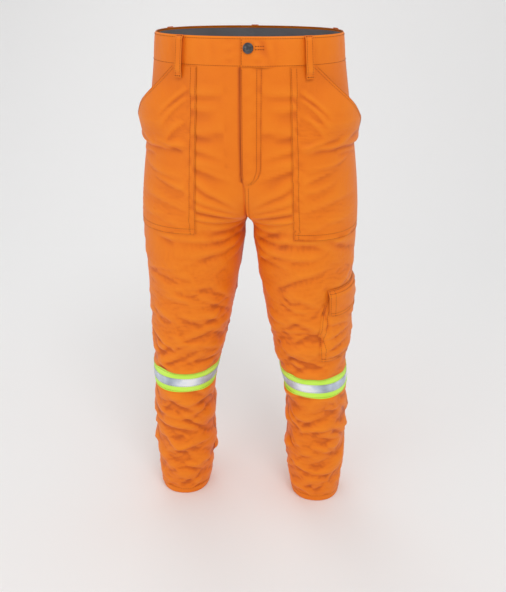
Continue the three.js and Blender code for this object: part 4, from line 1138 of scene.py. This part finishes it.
# ---- Back pockets ----
# Two plain patches, open along the top, that stand a little off the seat.
for side in (1, -1):
    name = SIDE_NAMES[side]
    rows, columns = np.linspace(0, 1, 46), np.linspace(0, 1, 36)
    z = -92 * MM - 140 * MM * rows[:, None] + 0 * columns[None, :]
    point = (1 - np.abs(2 * columns - 1))[None, :]  # the lower edge comes to a shallow point
    z = z - 7 * MM * np.where(rows[:, None] > 0.8, (rows[:, None] - 0.8) / 0.2, 0) * point
    across = 1.3 + 0.42 * columns[None, :] + 0 * z
    edge = np.minimum(np.minimum(columns, 1 - columns)[None, :] * 5, (1 - rows)[:, None] * 5)
    puff = smooth(0, 1, edge)
    lift = (1.2 + 8.5 * puff * (0.45 + 0.55 * (1 - rows[:, None]))) * MM
    natural_back, facing_back = on_shell(side, across, z, lift)
    firm = np.where(edge < 0.12, 1.0, 0.015)
    firm[0, 1:-1] = 0.15
    first = waves(across, z, 81) * 1.5 * MM * (firm < 0.1)
    start_form = natural_back + facing_back * first[..., None]
    extra = np.full((1, 46, 36), 0.02)
    outer = relax(start_form[None], natural_back[None], extra, extra * 0.5, firm[None], 2 * MM, 3 * MM,
                  facing_back[None], 120, reach=(5, 9))[0]
    normals = grid_normals(outer, side)
    pocket = sew(f"{name}_seat_pocket", outer, natural_back, 1.5 * MM, side, orange_cloth,
                 [f"{name}_back_pocket"], normals=normals)
    bend_hip(pocket, side)
    for inset in (0.8, 3.2):
        edge_line("hip", side, outer, normals, np.arange(0.5, 44.5, 0.5), inset)
        edge_line("hip", side, outer, normals, np.arange(0.5, 44.5, 0.5), 35 - inset)
        edge_line("hip", side, outer, normals, 45 - inset, np.arange(0.8, 34.2, 0.5))
    for row in (1.0, 7.0):
        edge_line("hip", side, outer, normals, row, np.arange(0.8, 34.2, 0.5))


# ---- Cargo pocket on the wearer's left thigh ----
# A patch pocket that stands a little off the leg, under a flap sewn along its top edge.
# A hook strip under the flap meets a loop strip on the pocket.
CARGO_ROWS, CARGO_COLUMNS = 58, 36
cargo_rows, cargo_columns = np.linspace(0, 1, CARGO_ROWS), np.linspace(0, 1, CARGO_COLUMNS)
CARGO_START, CARGO_END = -456 * MM, -609 * MM
CARGO_BACK = 1.15  # the across value of the back edge
z = CARGO_START + (CARGO_END - CARGO_START) * cargo_rows[:, None] + 0 * cargo_columns[None, :]
front = np.interp(-z[:, 0] / MM, [456, 500, 545, 609], [0.655, 0.60, 0.572, 0.575])[:, None]
across = front + (CARGO_BACK - front) * cargo_columns[None, :]
edge = np.minimum(np.minimum(cargo_columns, 1 - cargo_columns)[None, :] * 7, (1 - cargo_rows)[:, None] * 7)
puff = smooth(0, 1, edge)
lift = (1.2 + 5.5 * puff) * MM
cargo_form, cargo_facing = on_shell(1, across, z, lift)
firm = np.where(edge < 0.15, 1.0, 0.012)
firm[0] = 0.2
cargo_start = cargo_form + cargo_facing * (waves(across, z, 91) * 2.2 * MM * (firm < 0.1))[..., None]
extra = np.full((1, CARGO_ROWS, CARGO_COLUMNS), 0.03)
outer = relax(cargo_start[None], cargo_form[None], extra, extra * 0.6, firm[None], 3 * MM, 2.5 * MM,
              cargo_facing[None], 140, reach=(5, 9))[0]
girth = np.interp(-z, -ROWS, half_girth)
CARGO_FOLDS = [  # as for the seat's folds
    ((0.62, -520), (0.92, -534), 4, 2.6, 2.0), ((0.60, -556), (0.94, -538), 5, 2.8, 2.6),
    ((0.60, -584), (0.86, -560), 4, 2.6, 2.4), ((0.66, -600), (1.00, -578), 3, 2.6, 2.2),
    ((0.84, -512), (1.12, -530), -4, 2.8, 2.2), ((0.90, -560), (1.12, -590), 4, 2.8, 2.4),
]
for start, end, bow, width, height in CARGO_FOLDS:
    shape = crease_shape(across, z, girth, start, end, bow, width)
    outer = outer + cargo_facing * (shape * height * MM * (firm < 0.5))[..., None]
normals = grid_normals(outer, 1)
cargo_outer, cargo_normals = outer, normals
cargo = sew("thigh_pocket", outer, cargo_form, 1.5 * MM, 1, orange_cloth, ["cargo_pocket"], normals=normals)
bend_knee(cargo, 1)
for inset in (0.8, 2.6):
    edge_line("knee", 1, outer, normals, np.arange(0.5, 56.5, 0.5), inset)
    edge_line("knee", 1, outer, normals, np.arange(0.5, 56.5, 0.5), 35 - inset)
    edge_line("knee", 1, outer, normals, 57 - inset * 1.4, np.arange(0.8, 34.2, 0.5))
FLAP_FOOT, FLAP_STAND, FLAP_THICK = 1.4 * MM, 7.2 * MM, 1.7 * MM
flap_rows, flap_columns = np.linspace(0, 1, 30), np.linspace(0, 1, 40)
top = (-448 + 1.5 * flap_columns) * MM
low = (-505 + 2 * flap_columns) * MM
corner = 5 * MM * (np.exp(-flap_columns / 0.05) + np.exp(-(1 - flap_columns) / 0.05))
z = top[None, :] + (low + corner - top)[None, :] * flap_rows[:, None]
across = 0.645 + (1.175 - 0.645) * flap_columns[None, :] + 0 * z
lift = FLAP_FOOT + FLAP_STAND * smooth(0, 0.25, flap_rows)[:, None]
flap_form, flap_facing = on_shell(1, across, z, lift)
sag = waves(across * 1.4, z * 1.3, 97) * 0.9 * MM * smooth(0.1, 0.4, flap_rows)[:, None]
curl = 1.6 * MM * (smooth(0.8, 1.0, flap_rows)[:, None] * (1 - np.abs(2 * flap_columns - 1))[None, :])
outer = flap_form + flap_facing * (sag + curl)[..., None]
normals = grid_normals(outer, 1)
flap = sew("thigh_pocket_flap", outer, flap_form, FLAP_THICK, 1, orange_cloth, ["cargo_flap"],
           normals=normals)


def lift_flap(piece):
    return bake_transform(piece)


lift_flap(flap)
for inset in (0.9, 3.6):
    edge_line("flap", 1, outer, normals, np.arange(1.0, 28.5, 0.5), inset)
    edge_line("flap", 1, outer, normals, np.arange(1.0, 28.5, 0.5), 39 - inset)
    edge_line("flap", 1, outer, normals, 29 - inset, np.arange(0.9, 38.2, 0.5))
for row in (1.2, 4.2):
    edge_line("flap", 1, outer, normals, row, np.arange(0.6, 38.4, 0.5))
FUZZ = [(0.2, (0.42, 0.08, 0.006)), (0.5, (0.60, 0.13, 0.012)), (0.8, (0.72, 0.2, 0.03))]
fuzzy = woven("hook_and_loop", FUZZ, weave=1.6, crinkle=1.2, rough=0.95, sheen=0.6)
low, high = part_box("flap_hook_strip")
strip_rows = np.linspace(high.z - 1 * MM, low.z + 1 * MM, 10)
strip_across = np.linspace(0.845, 0.975, 20)
UNDER_FLAP = FLAP_FOOT + FLAP_STAND - FLAP_THICK - 0.3 * MM  # a hair clear of the flap's inner face
rows = np.interp(-strip_rows, -np.linspace(CARGO_START, CARGO_END, CARGO_ROWS), np.arange(CARGO_ROWS))
columns = np.interp(strip_across, np.linspace(0.65, CARGO_BACK, CARGO_COLUMNS), np.arange(CARGO_COLUMNS))
hook_grid = on_shell(1, strip_across[None, :], strip_rows[:, None], UNDER_FLAP)
loop_grid = on_grid(cargo_outer, cargo_normals, rows[:, None], columns[None, :], 0.8 * MM)
for name, (grid, strip_normals), node, body in (
    ("hook_strip", hook_grid, "flap_hook_strip", "cargo_flap"),
    ("loop_strip", loop_grid, "pocket_loop_strip", "left_thigh"),
):
    strip = sew(name, grid, grid, 1.0 * MM, 1, fuzzy, [node], normals=strip_normals)
    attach(strip, body)

# ---- Belt loops ----
# Five folded straps stand off the waistband. Each is sewn down at both ends with a dense bar of
# stitches and has a row of stitches along each side.
LOOP_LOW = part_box("centre_back_belt_loop")[0].z
LOOP_HALF_WIDTH = 6.6 * MM
loop_rows = MM * np.concatenate([
    np.linspace(0.8, -6, 8), np.linspace(-9, -53, 12), np.linspace(-56, LOOP_LOW / MM, 9),
])


def belt_loop(name, side, across, foot_lift, node):
    columns = np.linspace(-1, 1, 9)
    z = loop_rows[:, None]
    nearby = bare(across + 0.01, -20 * MM) - bare(across - 0.01, -20 * MM)
    half_across = LOOP_HALF_WIDTH / np.linalg.norm(nearby) * 0.02
    place = across + half_across * columns[None, :] + 0 * z
    stand = 6.8 - 4.6 * smooth(-6 * MM, 0.8 * MM, z) - (6.8 - foot_lift) * smooth(-52 * MM, -60 * MM, z)
    lift = (stand + 1.7 + 0.35 * (1 - columns[None, :] ** 2)) * MM
    if across > 1.99:  # the centre back loop is laid flat across the middle
        middle = skin(1, 1.9999, z, lift)
        grid = middle + (columns[None, :, None] * LOOP_HALF_WIDTH) * np.array([-1, 0, 0])
    else:
        grid = skin(side, place, z, lift)
    normals = grid_normals(grid, side)
    strap = put_in_scene(name, cloth_mesh(name, grid, grid, 1.7 * MM, side, None, normals, False),
                         orange_cloth.material)
    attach(strap, "seat")
    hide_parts(node)
    rows = np.arange(0.6, len(loop_rows) - 1.4, 0.4)
    for column in (1.3, 6.7):
        edge_line("loops", side, grid, normals, rows, column, 0.15 * MM)
    for row in (2.0, 2.5, 25.6, 26.2):
        edge_line("loops", side, grid, normals, row, np.arange(1.0, 7.2, 0.5), 0.2 * MM)


front_across = across_at(103 * MM, -20 * MM)
for side in (1, -1):
    name = SIDE_NAMES[side]
    belt_loop(f"{name}_front_loop", side, float(front_across), 4.2, f"{name}_front_belt_loop")
    belt_loop(f"{name}_rear_loop", side, 1.3, 0.6, f"{name}_rear_belt_loop")
belt_loop("centre_back_loop", 1, 2.0, 0.6, "centre_back_belt_loop")

# ---- Tack button and zip ----
# A dark metal cap with a raised rim and a domed centre. It sits on a riveted post.
dark_metal = Finish("dark_metal")
place = dark_metal.add("ShaderNodeTexCoord", {}, {}, "Object")
scuffs = dark_metal.add("ShaderNodeTexNoise", {}, {"Vector": place, "Scale": 700.0, "Detail": 4.0})
wear = dark_metal.add("ShaderNodeTexNoise", {}, {"Vector": place, "Scale": 220.0, "Detail": 2.0})
GUNMETAL = [(0.35, (0.045, 0.045, 0.05)), (0.6, (0.12, 0.12, 0.13)), (0.8, (0.3, 0.3, 0.31))]
metal_colour = dark_metal.add("ShaderNodeValToRGB", {"stops": GUNMETAL}, {"Fac": wear * 0.6 + scuffs * 0.4})
metal_bump = dark_metal.add("ShaderNodeBump", {}, {"Height": scuffs, "Strength": 0.2, "Distance": 0.1 * MM})
dark_metal.surface(Base_Color=metal_colour, Metallic=0.9, Roughness=scuffs * 0.25 + 0.22, Normal=metal_bump)


def pick_faces(piece, axis, above):
    """Selects only the faces that look along an axis, before an edit-mode tool."""
    bpy.ops.object.mode_set(mode="EDIT")
    bpy.ops.mesh.select_all(action="DESELECT")
    bpy.ops.object.mode_set(mode="OBJECT")
    for face in piece.data.polygons:
        face.select = face.normal[axis] * above > 0.9
    bpy.ops.object.mode_set(mode="EDIT")


def settle(piece, name, material, body, node):
    """Puts a modelled hard piece's place into its mesh, and gives it its finish and its body."""
    bpy.ops.object.mode_set(mode="OBJECT")
    bpy.ops.object.select_all(action="DESELECT")
    piece.select_set(True)
    bpy.context.view_layer.objects.active = piece
    bpy.ops.object.transform_apply(location=True, rotation=True, scale=True)
    bevel = piece.modifiers.new("edges", "BEVEL")
    bevel.width = 0.18 * MM
    bevel.segments = 2
    bevel.limit_method = "ANGLE"
    bpy.ops.object.modifier_apply(modifier="edges")
    bpy.ops.object.shade_smooth_by_angle(angle=math.radians(40))
    piece.name = name
    piece.data.name = name
    piece.data.materials.append(material)
    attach(piece, body)
    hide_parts(node)


low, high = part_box("button_cap")
centre = [(a + b) / 2 for a, b in zip(low, high)]
radius = (high.x - low.x) / 2
bpy.ops.object.select_all(action="DESELECT")
bpy.ops.mesh.primitive_cylinder_add(
    vertices=48, radius=radius, depth=2.2 * MM, location=(centre[0], high.y - 1.3 * MM, centre[2]),
    rotation=(math.pi / 2, 0, 0),
)
cap = bpy.context.object
pick_faces(cap, 2, 1)
# The rim, the groove inside it and the dome: each step in by so much and out by so much, in mm.
for inset, rise in ((0.5, 0.35), (1.0, 0.1), (0.9, -0.45), (0.3, 0.0), (0.9, 0.45), (1.4, 0.35), (1.4, 0.1)):
    bpy.ops.mesh.inset(thickness=inset * MM, depth=rise * MM)
settle(cap, "button_front", dark_metal.material, "button", "button_cap")

low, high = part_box("zip_pull")
bpy.ops.object.select_all(action="DESELECT")
bpy.ops.mesh.primitive_cube_add(size=1, location=[(a + b) / 2 for a, b in zip(low, high)])
pull = bpy.context.object
pull.scale = (high.x - low.x, high.y - low.y, high.z - low.z)
bpy.ops.object.transform_apply(location=False, rotation=False, scale=True)
pick_faces(pull, 1, -1)
bpy.ops.mesh.inset(thickness=1.1 * MM, depth=-0.3 * MM)
settle(pull, "zip_tab_plate", dark_metal.material, "zip_tab", "zip_pull")


def refinish(node, finish):
    """Gives a CAD node that stays in the looks its finish."""
    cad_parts[node].data.materials.clear()
    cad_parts[node].data.materials.append(finish.material)


for node in ("button_tack", "zip_slider", "zip_bottom_stop"):
    refinish(node, dark_metal)
tooth_resin = Finish("tooth_resin")
place = tooth_resin.add("ShaderNodeTexCoord", {}, {}, "Object")
flow = tooth_resin.add("ShaderNodeTexNoise", {}, {"Vector": place, "Scale": 400.0, "Detail": 3.0})
resin = tooth_resin.add(
    "ShaderNodeValToRGB", {"stops": [(0.3, (0.62, 0.16, 0.014)), (0.7, (0.80, 0.26, 0.03))]}, {"Fac": flow}
)
tooth_resin.surface(Base_Color=resin, Roughness=flow * 0.2 + 0.28)
for name in SIDES:
    refinish(f"{name}_zip_teeth", tooth_resin)

# ---- All stitch rows, gathered by the way they move ----
# One mesh for each side and group, all in thread of one colour. The groups on the shins, the
# waistband and the belt loops ride with the body of the cloth that they are sewn to.
# A darker orange thread, darkened further as painted shade of the stitch holes.
THREAD_AND_HOLE_SHADE = [(0.2, (0.30, 0.05, 0.004)), (0.5, (0.42, 0.08, 0.006)), (0.8, (0.55, 0.13, 0.012))]
thread = woven("thread", THREAD_AND_HOLE_SHADE, weave=0.3, crinkle=0.0, rough=0.5, sheen=0.0)
for (group, side), runs in stitch_runs.items():
    name = SIDE_NAMES[side]
    label = f"{name}_{group}_stitches"
    rows = put_in_scene(label, stitch_mesh(label, runs), thread.material)
    if group == "hip":
        bend_hip(rows, side)
    elif group == "knee":
        bend_knee(rows, side)
    elif group == "fly":
        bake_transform(rows)
    elif group in ("band", "silver"):
        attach(rows, f"{name}_shin")
    elif group == "flap":
        lift_flap(rows)
    else:
        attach(rows, "seat")
